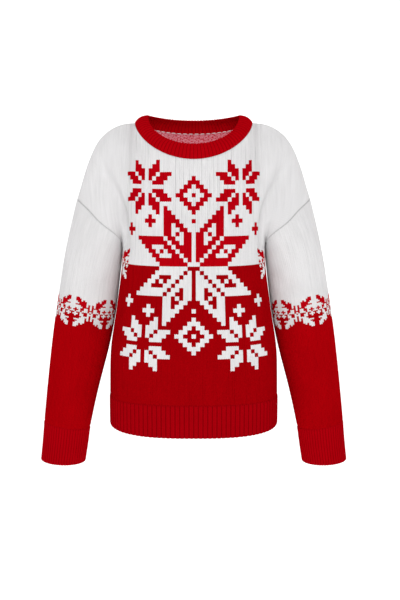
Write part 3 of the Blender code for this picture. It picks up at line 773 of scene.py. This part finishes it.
class Nodes:
    """A short way to write a material's nodes."""

    def __init__(self, name):
        self.material = bpy.data.materials.new(name)
        self.material.use_nodes = True
        self.tree = self.material.node_tree
        self.shader = self.tree.nodes["Principled BSDF"]

    def put(self, socket, value):
        if isinstance(value, bpy.types.NodeSocket):
            self.tree.links.new(value, socket)
        else:
            socket.default_value = value

    def math(self, operation, first, second=0.0, third=0.0, clamp=False):
        node = self.tree.nodes.new("ShaderNodeMath")
        node.operation = operation
        node.use_clamp = clamp
        for socket, value in zip(node.inputs, (first, second, third)):
            self.put(socket, value)
        return node.outputs[0]

    def mix(self, factor, first, second):
        node = self.tree.nodes.new("ShaderNodeMix")
        node.data_type = "RGBA"
        self.put(node.inputs[0], factor)
        for socket, value in ((node.inputs[6], first), (node.inputs[7], second)):
            self.put(socket, (*value, 1.0) if isinstance(value, tuple) else value)
        return node.outputs[2]

    def attribute(self, name):
        node = self.tree.nodes.new("ShaderNodeAttribute")
        node.attribute_name = name
        return node.outputs["Fac"]

    def knit_place(self):
        node = self.tree.nodes.new("ShaderNodeUVMap")
        node.uv_map = "Knit"
        split = self.tree.nodes.new("ShaderNodeSeparateXYZ")
        self.tree.links.new(node.outputs[0], split.inputs[0])
        return split.outputs[0], split.outputs[1]

    def noise(self, scale, detail=2.0, roughness=0.5, stretch=None):
        """Noise by the piece's own coordinates, or by its wales and courses times stretch."""
        node = self.tree.nodes.new("ShaderNodeTexNoise")
        node.inputs["Scale"].default_value = scale
        node.inputs["Detail"].default_value = detail
        node.inputs["Roughness"].default_value = roughness
        if stretch is None:
            source = self.tree.nodes.new("ShaderNodeTexCoord")
            self.tree.links.new(source.outputs["Object"], node.inputs["Vector"])
        else:
            source = self.tree.nodes.new("ShaderNodeUVMap")
            source.uv_map = "Knit"
            scaled = self.tree.nodes.new("ShaderNodeVectorMath")
            scaled.operation = "MULTIPLY"
            self.tree.links.new(source.outputs[0], scaled.inputs[0])
            scaled.inputs[1].default_value = (*stretch, 0.0)
            self.tree.links.new(scaled.outputs[0], node.inputs["Vector"])
        return node.outputs["Fac"]

    def bump(self, height, distance, strength, normal=None):
        node = self.tree.nodes.new("ShaderNodeBump")
        node.inputs["Distance"].default_value = distance
        node.inputs["Strength"].default_value = strength
        self.put(node.inputs["Height"], height)
        if normal is not None:
            self.put(node.inputs["Normal"], normal)
        return node.outputs["Normal"]

    def finish(self, colour, normal):
        """Wool is matt: it has no gloss, and its fibres spread light evenly."""
        self.put(self.shader.inputs["Base Color"], colour)
        self.put(self.shader.inputs["Normal"], normal)
        self.shader.inputs["Roughness"].default_value = 0.95
        self.shader.inputs["Diffuse Roughness"].default_value = 0.6
        self.shader.inputs["Specular IOR Level"].default_value = 0.0
        return self.material


def stitch_height(nodes):
    """Height from 0 to 1 over one V stitch: two legs that lean outwards from its foot."""
    u, v = nodes.knit_place()
    phase = nodes.math("FRACT", u)
    beside = nodes.math("ABSOLUTE", nodes.math("SUBTRACT", phase, 0.5))
    lift = nodes.math("MULTIPLY", nodes.math("SUBTRACT", 0.5, beside), 2 * STITCH_DROP)
    within = nodes.math("FRACT", nodes.math("ADD", v, lift))
    middle = nodes.math("MULTIPLY_ADD", within, 0.12, 0.19)
    off = nodes.math("DIVIDE", nodes.math("SUBTRACT", beside, middle), 0.22)
    round_off = nodes.math("SUBTRACT", 1.0, nodes.math("MULTIPLY", off, off), clamp=True)
    from_middle = nodes.math("ABSOLUTE", nodes.math("MULTIPLY_ADD", within, 2.0, -1.0))
    ends = nodes.math("SUBTRACT", 1.0, nodes.math("POWER", from_middle, 4.0), clamp=True)
    leg = nodes.math("SQRT", round_off)
    return nodes.math("MULTIPLY", leg, nodes.math("MULTIPLY_ADD", ends, 0.6, 0.4))


def times(nodes, colour, factor):
    """The colour darkened by a factor that varies over the surface."""
    node = nodes.tree.nodes.new("ShaderNodeVectorMath")
    node.operation = "SCALE"
    nodes.put(node.inputs[0], colour)
    nodes.put(node.inputs["Scale"], factor)
    return node.outputs[0]


def jacquard(name, yarn, change):
    """Two-colour knit. Above the change of colour the figures are of a brighter red than the ground below."""
    nodes = Nodes(name)
    height = stitch_height(nodes)
    _, course = nodes.knit_place()
    fuzz = nodes.noise(1100.0, 3.0, 0.6)
    cloud = nodes.noise(11.0, 3.0, 0.55)
    strand = nodes.noise(1.0, 2.0, 0.5, stretch=(0.9, 0.05))
    red = nodes.mix(nodes.math("GREATER_THAN", course, float(change)), yarn, PATTERN_RED)
    colour = nodes.mix(nodes.attribute("red"), WHITE, red)
    # Painted shade: the colour darkens in the hollows of each stitch, by its height.
    groove = nodes.math("MULTIPLY_ADD", height, 0.22, 0.79)
    worn = nodes.math("MULTIPLY_ADD", strand, 0.20, 0.90)
    patchy = nodes.math("MULTIPLY_ADD", cloud, 0.16, 0.92)
    speck = nodes.math("MULTIPLY_ADD", fuzz, 0.16, 0.92)
    # Painted shade from the shade attribute, along the seams and in the grooves between wales.
    seam = nodes.math("MULTIPLY_ADD", nodes.attribute("shade"), -0.55, 1.0, clamp=True)
    factor = nodes.math("MULTIPLY", nodes.math("MULTIPLY", groove, worn), nodes.math("MULTIPLY", speck, seam))
    normal = nodes.bump(height, 0.0009, 0.75)
    normal = nodes.bump(fuzz, 0.0002, 0.6, normal)
    return nodes.finish(times(nodes, colour, nodes.math("MULTIPLY", factor, patchy)), normal)


def wrong_side():
    """The inside, where both yarns show in alternate stitches and loose ends cloud them."""
    nodes = Nodes("jacquard_inside")
    u, v = nodes.knit_place()
    across = nodes.math("SINE", nodes.math("MULTIPLY", u, math.pi))
    upward = nodes.math("SINE", nodes.math("MULTIPLY", v, math.pi))
    check = nodes.math("MULTIPLY_ADD", nodes.math("MULTIPLY", across, upward), 0.5, 0.5, clamp=True)
    uneven = nodes.noise(330.0, 3.0, 0.7)
    share = nodes.math("ADD", nodes.math("MULTIPLY", check, 0.45),
                       nodes.math("MULTIPLY_ADD", uneven, 3.4, -1.45), clamp=True)
    colour = nodes.mix(share, INSIDE_RED, INSIDE_PALE)
    normal = nodes.bump(check, 0.0008, 0.8)
    normal = nodes.bump(uneven, 0.0006, 0.6, normal)
    return nodes.finish(colour, normal)


def red_rib(name, yarn):
    nodes = Nodes(name)
    height = stitch_height(nodes)
    fuzz = nodes.noise(1100.0, 3.0, 0.6)
    cloud = nodes.noise(18.0, 3.0, 0.55)
    # Painted shade from the shade attribute, in the hollows between ribs and beside the seam, and painted light
    # that makes the inner side paler.
    low = nodes.math("MULTIPLY_ADD", nodes.attribute("shade"), -0.30, 1.0)
    # Painted shade: the colour darkens in the hollows of each stitch, by its height.
    groove = nodes.math("MULTIPLY_ADD", height, 0.22, 0.80)
    speck = nodes.math("MULTIPLY_ADD", fuzz, 0.16, 0.92)
    patchy = nodes.math("MULTIPLY_ADD", cloud, 0.16, 0.92)
    factor = nodes.math("MULTIPLY", nodes.math("MULTIPLY", low, groove), nodes.math("MULTIPLY", speck, patchy))
    colour = nodes.tree.nodes.new("ShaderNodeRGB")
    colour.outputs[0].default_value = (*yarn, 1.0)
    normal = nodes.bump(height, 0.0008, 0.6)
    normal = nodes.bump(fuzz, 0.0002, 0.6, normal)
    return nodes.finish(times(nodes, colour.outputs[0], factor), normal)


def thread():
    nodes = Nodes("white_thread")
    twist = nodes.noise(1500.0, 2.0, 0.6)
    colour = nodes.mix(twist, tuple(0.8 * c for c in THREAD), THREAD)
    return nodes.finish(colour, nodes.bump(twist, 0.0003, 0.7))


# ---- the pieces ---------------------------------------------------------------------------------------------


def wale_ways(normals):
    """Which way the wales run on the upper body: level planes from front to back, and up at the sides."""
    over = unit(np.cross(normals, [1.0, 0.0, 0.0]))
    over *= np.where(over[..., 2:] < 0, -1, 1)
    climb = unit(np.array([0.0, 0.0, 1.0]) - normals[..., 2:] * normals)
    share = normals[..., 2:] ** 2 / np.maximum(normals[..., 2:] ** 2 + normals[..., :1] ** 2, 1e-9)
    return unit(share * over + (1 - share) * climb)


def lay_wales(face, ups, low):
    """For each row and column of points: across, the place in wales, and the distance to the side edge.

    Below the row low, the underarm, the wales fill each row evenly. Above it those near the middle run
    straight up, and the others close up or spread out as the panel narrows and widens at the armhole. The place
    in wales keeps the stitches there at their own width.
    """
    fine = np.linspace(0, 1, SAMPLES + 1)
    grid = np.stack([panel_row(face, np.concatenate([-fine[:0:-1], fine]), up) for up in ups])
    ways = (unit(np.gradient(grid, axis=0)), wale_ways(-face * grid_normals(grid)))
    widths = [np.linalg.norm(np.cross(np.diff(grid, axis=1), way[:, 1:] + way[:, :-1]), axis=-1) / 2
              for way in ways]
    widths[1] += ROW_SHARE * (np.linalg.norm(np.diff(grid, axis=1), axis=-1) - widths[1])
    grid = grid[:, SAMPLES:]
    even_run, run = (np.concatenate([np.zeros((len(ups), 1)), np.cumsum(width[:, SAMPLES:], axis=1)], axis=1)
                     for width in widths)
    half = BODY_WALES / 2
    wales = np.linspace(0, half, BODY_WALES * len(WALE_PHASES) // 2 + 1)
    straight = wales <= STRAIGHT_WALES
    last = int(straight.sum()) - 1
    rest = wales[~straight] - STRAIGHT_WALES
    across = np.stack([np.interp(wales / half * row[-1], row, fine) for row in even_run])
    place = np.tile(wales, (len(ups), 1))
    beside = (half - wales) / half * run[:, -1:]
    home = np.interp(across[low, straight], fine, grid[low, :, 0])
    spacing = (run[low, -1] - np.interp(across[low, last], fine, run[low])) / rest[-1]
    for row in range(low + 1, len(ups)):
        across[row, straight] = np.interp(home, grid[row, :, 0], fine)
        here, before = np.interp(across[row, [last, last - len(WALE_PHASES)]], fine, run[row])
        width = here - before
        spare = run[row, -1] - here - rest[-1] * width
        reached = here + rest * width + spare * (rest / rest[-1]) ** SPREAD_POWER
        across[row, ~straight] = np.interp(reached, run[row], fine)
        steps = np.linspace(here, run[row, -1], SAMPLES)
        size = width + (spacing - width) * smooth_step(steps - here, 0, WALE_BLEND)
        count = np.concatenate([[0], np.cumsum(np.diff(steps) * 2 / (size[1:] + size[:-1]))])
        place[row, ~straight] = STRAIGHT_WALES + np.interp(reached, steps, count)
        beside[row] = run[row, -1] - np.interp(across[row], fine, run[row])
    return (np.concatenate([-across[:, :0:-1], across], axis=1),
            half + np.concatenate([-place[:, :0:-1], place], axis=1),
            np.concatenate([beside[:, :0:-1], beside], axis=1))


def panel_form(name, face, across, ups):
    """Points and outward normals of the front (face -1) or the back (face 1), seen from outside."""
    plain = np.stack([panel_row(face, row, up) for row, up in zip(across, ups)])
    sunk = np.zeros(plain.shape[:2])
    table = FOLDS[name]
    for ends, heights, width, depth in zip(table["across"], table["up"], table["width"], table["depth"]):
        for side in (-1, 1):
            sunk += depth * fold_depth(ends, heights, width, side * across, ups[:, None])
    sunk *= (1 - np.abs(across) ** EDGE_POWER) * np.clip(PANEL_FOLD_REACH * ups * (1 - ups), 0, 1)[:, None]
    if face > 0:
        plain = plain[:, ::-1]
        sunk = sunk[:, ::-1]
    plain = plain - sunk[..., None] * grid_normals(plain)
    return plain, grid_normals(plain)


def make_panel(name, face, is_red, seed, materials):
    ups = np.concatenate([np.linspace(0, UNDERARM_SHARE, PANEL_ROWS[0]),
                          np.linspace(UNDERARM_SHARE, 1, PANEL_ROWS[1])[1:]])
    low = int(np.searchsorted(ups, UNDERARM_SHARE))
    across, wale, beside = lay_wales(face, ups, low)
    loose = (smooth_step(np.abs(wale[0] - BODY_WALES / 2), STRAIGHT_WALES, STRAIGHT_WALES + LOOSE_WALES)
             * smooth_step(ups, *LOOSE_FROM)[:, None])
    cloth = Cloth(*panel_form(name, face, across, ups), BODY_WALES, wale=wale, beside=beside, loose=loose,
                  up=np.tile(ups[:, None], (1, across.shape[1])))
    streaks = streak_field(name, cloth, BODY_WALES + 1, seed)

    def groove(column, lengths):
        run = cloth.run[:, column]
        to_side = cloth.mark("beside", column, lengths)
        side = np.where(lengths > run[low] - COURSE, dip("armhole", to_side), dip("side", to_side))
        kind = "neck" if abs(across[-1, column]) <= NECK_SHARE else "shoulder"
        return np.maximum(np.maximum(side, dip(kind, run[-1] - lengths)), dip("rib", lengths))

    # Painted shade: a dark line along the armhole seam and another along the upper edge.
    def shade_at(column, lengths):
        above = (cloth.mark("up", column, lengths) - UNDERARM_SHARE) / (1 - UNDERARM_SHARE)
        line = np.exp(-((cloth.mark("beside", column, lengths) / SEAM_SHADE) ** 2))
        top = TOP_SHADE * np.exp(-(((cloth.run[-1, column] - lengths) / (2 * SEAM_SHADE)) ** 2))
        return np.maximum(PANEL_SEAM_SHADE * smooth_step(above, *SHADE_RISE) * line, top)

    piece = Piece(name + "_knit")
    made = knit(piece, cloth, False, groove, shade_at, is_red, streaks)
    rows = np.arange(0, len(ups), INNER_ROWS)
    evenly = np.linspace(-1, 1, INNER_COLUMNS + 1)
    form, facing = panel_form(name, face, np.tile(evenly, (len(ups), 1)), ups)
    inside = line_inside(piece, form[rows], facing[rows], False, BODY_WALES)
    outer_at = [(row + 1) / 2 for row in (across[0], across[-1])]
    edge = np.concatenate([[0], np.cumsum(np.linalg.norm(np.diff(form[:, 0], axis=0), axis=1))])
    close_rims(piece, made, inside, False, is_red, outer_at, [(evenly + 1) / 2] * 2, (edge / edge[-1])[rows])
    return piece.build(materials)


def sleeve_form():
    """The right sleeve, read from the cuff upwards. Its first column is the seam under the arm."""
    columns = SLEEVE_WALES * len(WALE_PHASES)
    angle = math.pi + np.arange(columns) / columns * 2 * math.pi
    turn = np.abs((angle + math.pi) % (2 * math.pi) - math.pi)
    front = np.sin(angle) > 0
    share = 1 - turn / math.pi
    seam = np.where(front[:, None], armhole(-1, share), armhole(1, share))
    downs = np.linspace(1, 0, SLEEVE_ROWS)
    plain = []
    for down in downs:
        fade = max(0.0, 1 - down / ARMHOLE_FADE) ** 2
        plain.append(ring(SLEEVE, down, angle) + fade * (seam - ring(SLEEVE, 0.0, angle)))
    plain = np.stack(plain)
    outward = tube_normals(plain)
    degrees = np.degrees(angle) % 360
    sunk = np.zeros(plain.shape[:2])
    table = SLEEVE_FOLDS
    for ends, heights, width, depth in zip(table["turn"], table["down"], table["width"], table["depth"]):
        for lap in (-360, 0, 360):
            place = (degrees[None, :] + lap) / DEGREES_PER_LENGTH
            sunk += depth * fold_depth([end / DEGREES_PER_LENGTH for end in ends], heights,
                                       width / DEGREES_PER_LENGTH, place, downs[:, None])
    sunk *= np.clip(SLEEVE_FOLD_REACH * downs * (1 - downs), 0, 1)[:, None]
    return plain - sunk[..., None] * outward, outward


def make_sleeve(name, plain, normals, seed, mirror, materials):
    phases = len(WALE_PHASES)
    columns = plain.shape[1]
    wale = np.tile(np.arange(columns) / phases, (len(plain), 1))
    cloth = Cloth(plain, normals, SLEEVE_WALES, wale=wale, loose=np.zeros_like(wale))
    streaks = streak_field("sleeve", cloth, SLEEVE_WALES, seed)

    def from_seam(column):
        return min(column, columns - column) / columns

    def groove(column, lengths):
        top = cloth.run[-1, column] - lengths
        under = dip("side", from_seam(column) * SLEEVE_WALES * WALE)
        return np.maximum(np.maximum(dip("armhole", top), dip("rib", lengths)), under)

    # Painted shade: a dark line along the armhole seam.
    def shade_at(column, lengths):
        line = np.exp(-(((cloth.run[-1, column] - lengths) / SEAM_SHADE) ** 2))
        return smooth_step(2 * from_seam(column), *SHADE_RISE) * line

    piece = Piece(name + "_knit")
    made = knit(piece, cloth, True, groove, shade_at, sleeve_is_red, streaks)
    rows = np.arange(0, len(plain), INNER_ROWS)
    inside = line_inside(piece, plain[rows, ::phases], normals[rows, ::phases], True, SLEEVE_WALES)
    outer_at = np.arange(columns + 1) / columns
    inner_at = np.arange(SLEEVE_WALES + 1) / SLEEVE_WALES
    close_rims(piece, made, inside, True, sleeve_is_red, [outer_at] * 2, [inner_at] * 2, None)
    return piece.build(materials, mirror)


def make_band(name, plain, normals, relief, closed, materials, mirror=False):
    """A rib band. Row 0 of plain is its seam and the last row its free edge. The free edge is rounded."""
    phases = len(RIB_PROFILE)
    columns = plain.shape[1]
    profile = np.array([RIB_PROFILE[c % phases] for c in range(columns)])
    hollow = np.array([RIB_PROFILE[(c + phases // 2) % phases] for c in range(columns)])
    run = np.concatenate([[0], np.cumsum(np.linalg.norm(np.diff(plain, axis=0), axis=2).mean(axis=1))])
    edge_way = unit(plain[-1] - plain[-2])
    inner_relief = INNER_RELIEF * relief * hollow
    least_relief, more_relief = BAND_SEAM["relief"]
    least_shade, more_shade = BAND_SEAM["hollows"]
    rows = []
    shades = []
    lengths = []
    for row in range(len(plain)):
        rise = 1 - math.exp(-((run[row] / BAND_SEAM["reach"]) ** 2))
        height = relief * profile * (least_relief + more_relief * rise) - dip("rib", run[row])
        rows.append(plain[row] + height[:, None] * normals[row])
        # Painted shade in the hollows between ribs, and a line of painted shade beside the seam.
        shades.append((1 - profile) * (least_shade + more_shade * rise) + BAND_SEAM["line"] * (1 - rise))
        lengths.append(run[row])
    half = RIB_WALL / 2
    centre = plain[-1] - half * normals[-1]
    for turn in np.radians(BAND_TURNS):
        outer_share = 0.5 + 0.5 * math.cos(turn)
        inner_share = 0.5 - 0.5 * math.cos(turn)
        reach = half + relief * profile * outer_share + inner_relief * inner_share
        rows.append(centre + reach[:, None] * (math.cos(turn) * normals[-1] + math.sin(turn) * edge_way))
        # Painted shade in the hollows round the free edge.
        shades.append((1 - profile) * BAND_EDGE_SHADE)
        lengths.append(run[-1] + half * turn)
    depth = RIB_WALL + inner_relief
    for row in np.unique(np.linspace(len(plain) - 1, 0, INNER_BAND_ROWS).round().astype(int))[::-1]:
        rows.append(plain[row] - depth[:, None] * normals[row])
        # Painted shade in the hollows of the inner side, and painted light over the whole of it.
        shades.append((1 - hollow) * INNER_SHADE - INNER_PAINTED_LIGHT)
        lengths.append(run[-1] + math.pi * half + run[-1] - run[row])
    points = np.stack(rows)
    piece = Piece(name)
    first = piece.add_points(points, np.concatenate(shades))
    count = len(rows)
    index = first + np.arange(count * columns).reshape(count, columns)
    spans = np.arange(columns if closed else columns - 1)
    after = (spans + 1) % columns
    around = np.arange(count)
    up = (around + 1) % count
    a = index[np.ix_(around, spans)]
    b = index[np.ix_(around, after)]
    c = index[np.ix_(up, after)]
    d = index[np.ix_(up, spans)]
    faces = np.stack([a, d, c, b], axis=-1).reshape(-1, 4)
    u0 = np.broadcast_to(spans[None, :] / phases, a.shape)
    u1 = u0 + 1 / phases
    lengths = np.array(lengths + [lengths[-1] + RIB_WALL])
    v0 = np.broadcast_to(-lengths[:-1, None] / COURSE, a.shape)
    v1 = np.broadcast_to(-lengths[1:, None] / COURSE, a.shape)
    knit_at = corner_places(u0, u1, v0, v1)
    place = knit_at / np.array([spans[-1] / phases + 1, -lengths[-1] / COURSE])
    piece.add_faces(faces, knit_at, place, 1.0, 0)
    if not closed:
        for column, flip in ((0, True), (columns - 1, False)):
            for end in range(count // 2):
                cap = [index[end, column], index[end + 1, column], index[count - 2 - end, column],
                       index[count - 1 - end, column]]
                cap = list(dict.fromkeys(cap[::-1] if flip else cap))
                zero = np.zeros((1, len(cap), 2))
                piece.add_faces([cap], zero, zero + 0.999, 1.0, 0)
    return piece.build(materials, mirror)


def make_hem(name, face, materials):
    columns = RIBS["hem"] * len(RIB_PROFILE) + 1
    across = np.linspace(-1, 1, columns)
    shares = np.linspace(0, 1, BAND_ROWS["hem"])
    rise = HEM_EDGE_ROUND + HEM_SIDE_RISE * np.abs(across) ** HEM_RISE_POWER
    plain = np.stack([section(face, HEM_TOP + (HEM_BOTTOM - HEM_TOP) * s, across) for s in shares])
    plain[..., 2] += shares[:, None] * rise
    normals = face * grid_normals(plain)
    if face > 0:
        plain = plain[:, ::-1]
        normals = normals[:, ::-1]
    return make_band(name, plain, normals, RIB_RELIEF["hem"], False, materials)


def make_collar(materials):
    columns = RIBS["collar"] * len(RIB_PROFILE)
    angle = np.arange(columns) / columns * 2 * math.pi
    seam = oval(NECK_SEAM, angle)
    edge = oval(COLLAR_EDGE, angle)
    outward = neck_normal(angle)
    shares = np.linspace(0, 1, BAND_ROWS["collar"])
    plain = np.stack([seam + (edge - seam) * s + COLLAR_BULGE * math.sin(math.pi * s) * outward for s in shares])
    normals = grid_normals(plain, closed=True)
    if (normals * outward[None]).sum() < 0:
        normals = -normals
    return make_band("collar_knit", plain, normals, RIB_RELIEF["collar"], True, materials)


def make_cuff(name, mirror, materials):
    columns = RIBS["cuff"] * len(RIB_PROFILE)
    angle = -np.arange(columns) / columns * 2 * math.pi
    shares = np.linspace(0, 1, BAND_ROWS["cuff"])
    plain = np.stack([ring(CUFF, share, angle) for share in shares])
    top = ring(SLEEVE, 1.0, angle)
    blend = np.clip(1 - shares / CUFF_BLEND, 0, 1)[:, None, None]
    plain = plain + blend * (top - ring(CUFF, 0.0, angle))[None]
    return make_band(name, plain, tube_normals(plain), RIB_RELIEF["cuff"], True, materials, mirror)


def make_linking(materials):
    """The row of white linking stitches that shows inside the neck, where the collar is joined on."""
    piece = Piece("neck_linking")
    turn = np.arange(LINK["sides"]) / LINK["sides"] * 2 * math.pi
    along_stitch = np.linspace(-1, 1, len(LINK["swell"]))
    ends = len(along_stitch) - 1
    sides = LINK["sides"]
    for stitch in range(LINK["count"]):
        angle = (stitch + 0.5 + along_stitch * LINK["filled"] / 2) / LINK["count"] * 2 * math.pi
        outward = neck_normal(angle)
        upward = unit(oval(COLLAR_EDGE, angle) - oval(NECK_SEAM, angle))
        line = oval(NECK_SEAM, angle) + LINK["above_seam"] * upward - LINK["inside"] * outward
        way = unit(np.gradient(line, axis=0))
        side = unit(np.cross(way, outward))
        out = np.cross(side, way)
        radius = LINK["radius"] * np.array(LINK["swell"])
        rings = (line[:, None] + radius[:, None, None] * (np.cos(turn)[None, :, None] * side[:, None]
                 + np.sin(turn)[None, :, None] * out[:, None]))
        first = piece.add_points(rings)
        faces = []
        for row in range(ends):
            for k in range(sides):
                after = (k + 1) % sides
                faces.append([first + row * sides + k, first + row * sides + after,
                              first + (row + 1) * sides + after, first + (row + 1) * sides + k])
        corners = np.tile([[(0, 0), (1, 0), (1, 1), (0, 1)]], (len(faces), 1, 1))
        spots = corners * 0.8 / LINK["count"] + np.array([stitch / LINK["count"], 0.5])
        piece.add_faces(faces, corners, spots)
        for row, order in ((0, range(sides - 1, -1, -1)), (ends, range(sides))):
            cap = [[first + row * sides + k for k in order]]
            piece.add_faces(cap, np.zeros((1, sides, 2)), np.full((1, sides, 2), 0.5))
    return piece.build(materials)


def make_stage():
    """A pale floor that sweeps up far behind the garment. The garment is at the height it has when worn."""
    profile = [(-STAGE["half"], STAGE["floor"])]
    for turn in np.radians(np.arange(0, 91, 6)):
        profile.append((STAGE["bend_from"] + STAGE["bend"] * math.sin(turn),
                        STAGE["floor"] + STAGE["bend"] * (1 - math.cos(turn))))
    profile.append((STAGE["bend_from"] + STAGE["bend"], STAGE["half"]))
    points = [(x, y, z) for y, z in profile for x in (-STAGE["half"], STAGE["half"])]
    faces = [(2 * i, 2 * i + 1, 2 * i + 3, 2 * i + 2) for i in range(len(profile) - 1)]
    mesh = bpy.data.meshes.new("studio_floor")
    mesh.from_pydata(points, [], faces)
    mesh.shade_smooth()
    nodes = Nodes("studio_paper")
    nodes.shader.inputs["Base Color"].default_value = (0.95, 0.95, 0.95, 1.0)
    nodes.shader.inputs["Roughness"].default_value = 0.95
    nodes.shader.inputs["Specular IOR Level"].default_value = 0.0
    nodes.shader.inputs["Emission Color"].default_value = (1.0, 1.0, 1.0, 1.0)
    nodes.shader.inputs["Emission Strength"].default_value = STAGE["glow"]
    mesh.materials.append(nodes.material)
    made = bpy.data.objects.new("studio_floor", mesh)
    bpy.context.scene.collection.objects.link(made)


def make_light(name, place, aim, size, power):
    data = bpy.data.lights.new(name, "AREA")
    data.shape = "RECTANGLE"
    data.size, data.size_y = size
    data.energy = power
    made = bpy.data.objects.new(name, data)
    made.location = place
    way = np.array(aim, float) - np.array(place, float)
    level = math.hypot(way[0], way[1])
    made.rotation_euler = (math.pi / 2 + math.atan2(way[2], level), 0.0, math.atan2(-way[0], way[1]))
    bpy.context.scene.collection.objects.link(made)


def make_camera():
    """The camera of the photograph: level with the neck, 2.4 m away, looking slightly down."""
    data = bpy.data.cameras.new("camera")
    data.sensor_fit = "AUTO"
    data.sensor_width = 36.0
    data.lens = 69.0
    data.shift_x = 0.0105
    made = bpy.data.objects.new("camera", data)
    made.location = (0.0, -2.4, 0.0)
    made.rotation_euler = (math.radians(90 - 8.847), 0.0, 0.0)
    bpy.context.scene.collection.objects.link(made)
    bpy.context.scene.camera = made


make_camera()
make_stage()
world = bpy.data.worlds.new("studio")
world.use_nodes = True
world.node_tree.nodes["Background"].inputs["Color"].default_value = (1.0, 1.0, 1.0, 1.0)
world.node_tree.nodes["Background"].inputs["Strength"].default_value = 0.60
bpy.context.scene.world = world
make_light("front_light", (0.0, -2.6, 1.6), (0.0, 0.0, -0.35), (2.4, 1.8), 46.0)
bpy.context.scene.view_settings.view_transform = "Standard"

inside = wrong_side()
body_materials = [jacquard("body_knit", BODY_RED, BODY_CHANGE), inside]
sleeve_materials = [jacquard("sleeve_knit", SLEEVE_RED, SLEEVE_CHANGE), inside]
hem_materials = [red_rib("hem_rib", HEM_RED)]
collar_materials = [red_rib("collar_rib", COLLAR_RED)]
cuff_materials = [red_rib("cuff_rib", CUFF_RED)]

made = {
    "front": make_panel("front", -1, front_is_red, 11, body_materials),
    "back": make_panel("back", 1, back_is_red, 23, body_materials),
}
arm, arm_normals = sleeve_form()
made["sleeve_right"] = make_sleeve("sleeve_right", arm, arm_normals, 37, False, sleeve_materials)
made["sleeve_left"] = make_sleeve("sleeve_left", arm, arm_normals, 41, True, sleeve_materials)
made["hem_rib_front"] = make_hem("hem_front_knit", -1, hem_materials)
made["hem_rib_back"] = make_hem("hem_back_knit", 1, hem_materials)
made["collar_rib"] = make_collar(collar_materials)
made["cuff_right"] = make_cuff("cuff_right_knit", False, cuff_materials)
made["cuff_left"] = make_cuff("cuff_left_knit", True, cuff_materials)
linking = make_linking([thread()])

for node, piece in made.items():
    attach(piece, "root")
    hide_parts(node)
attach(linking, "root")

for item in [*made.values(), linking]:
    item.data.calc_loop_triangles()
    print("piece", item.name, len(item.data.loop_triangles))
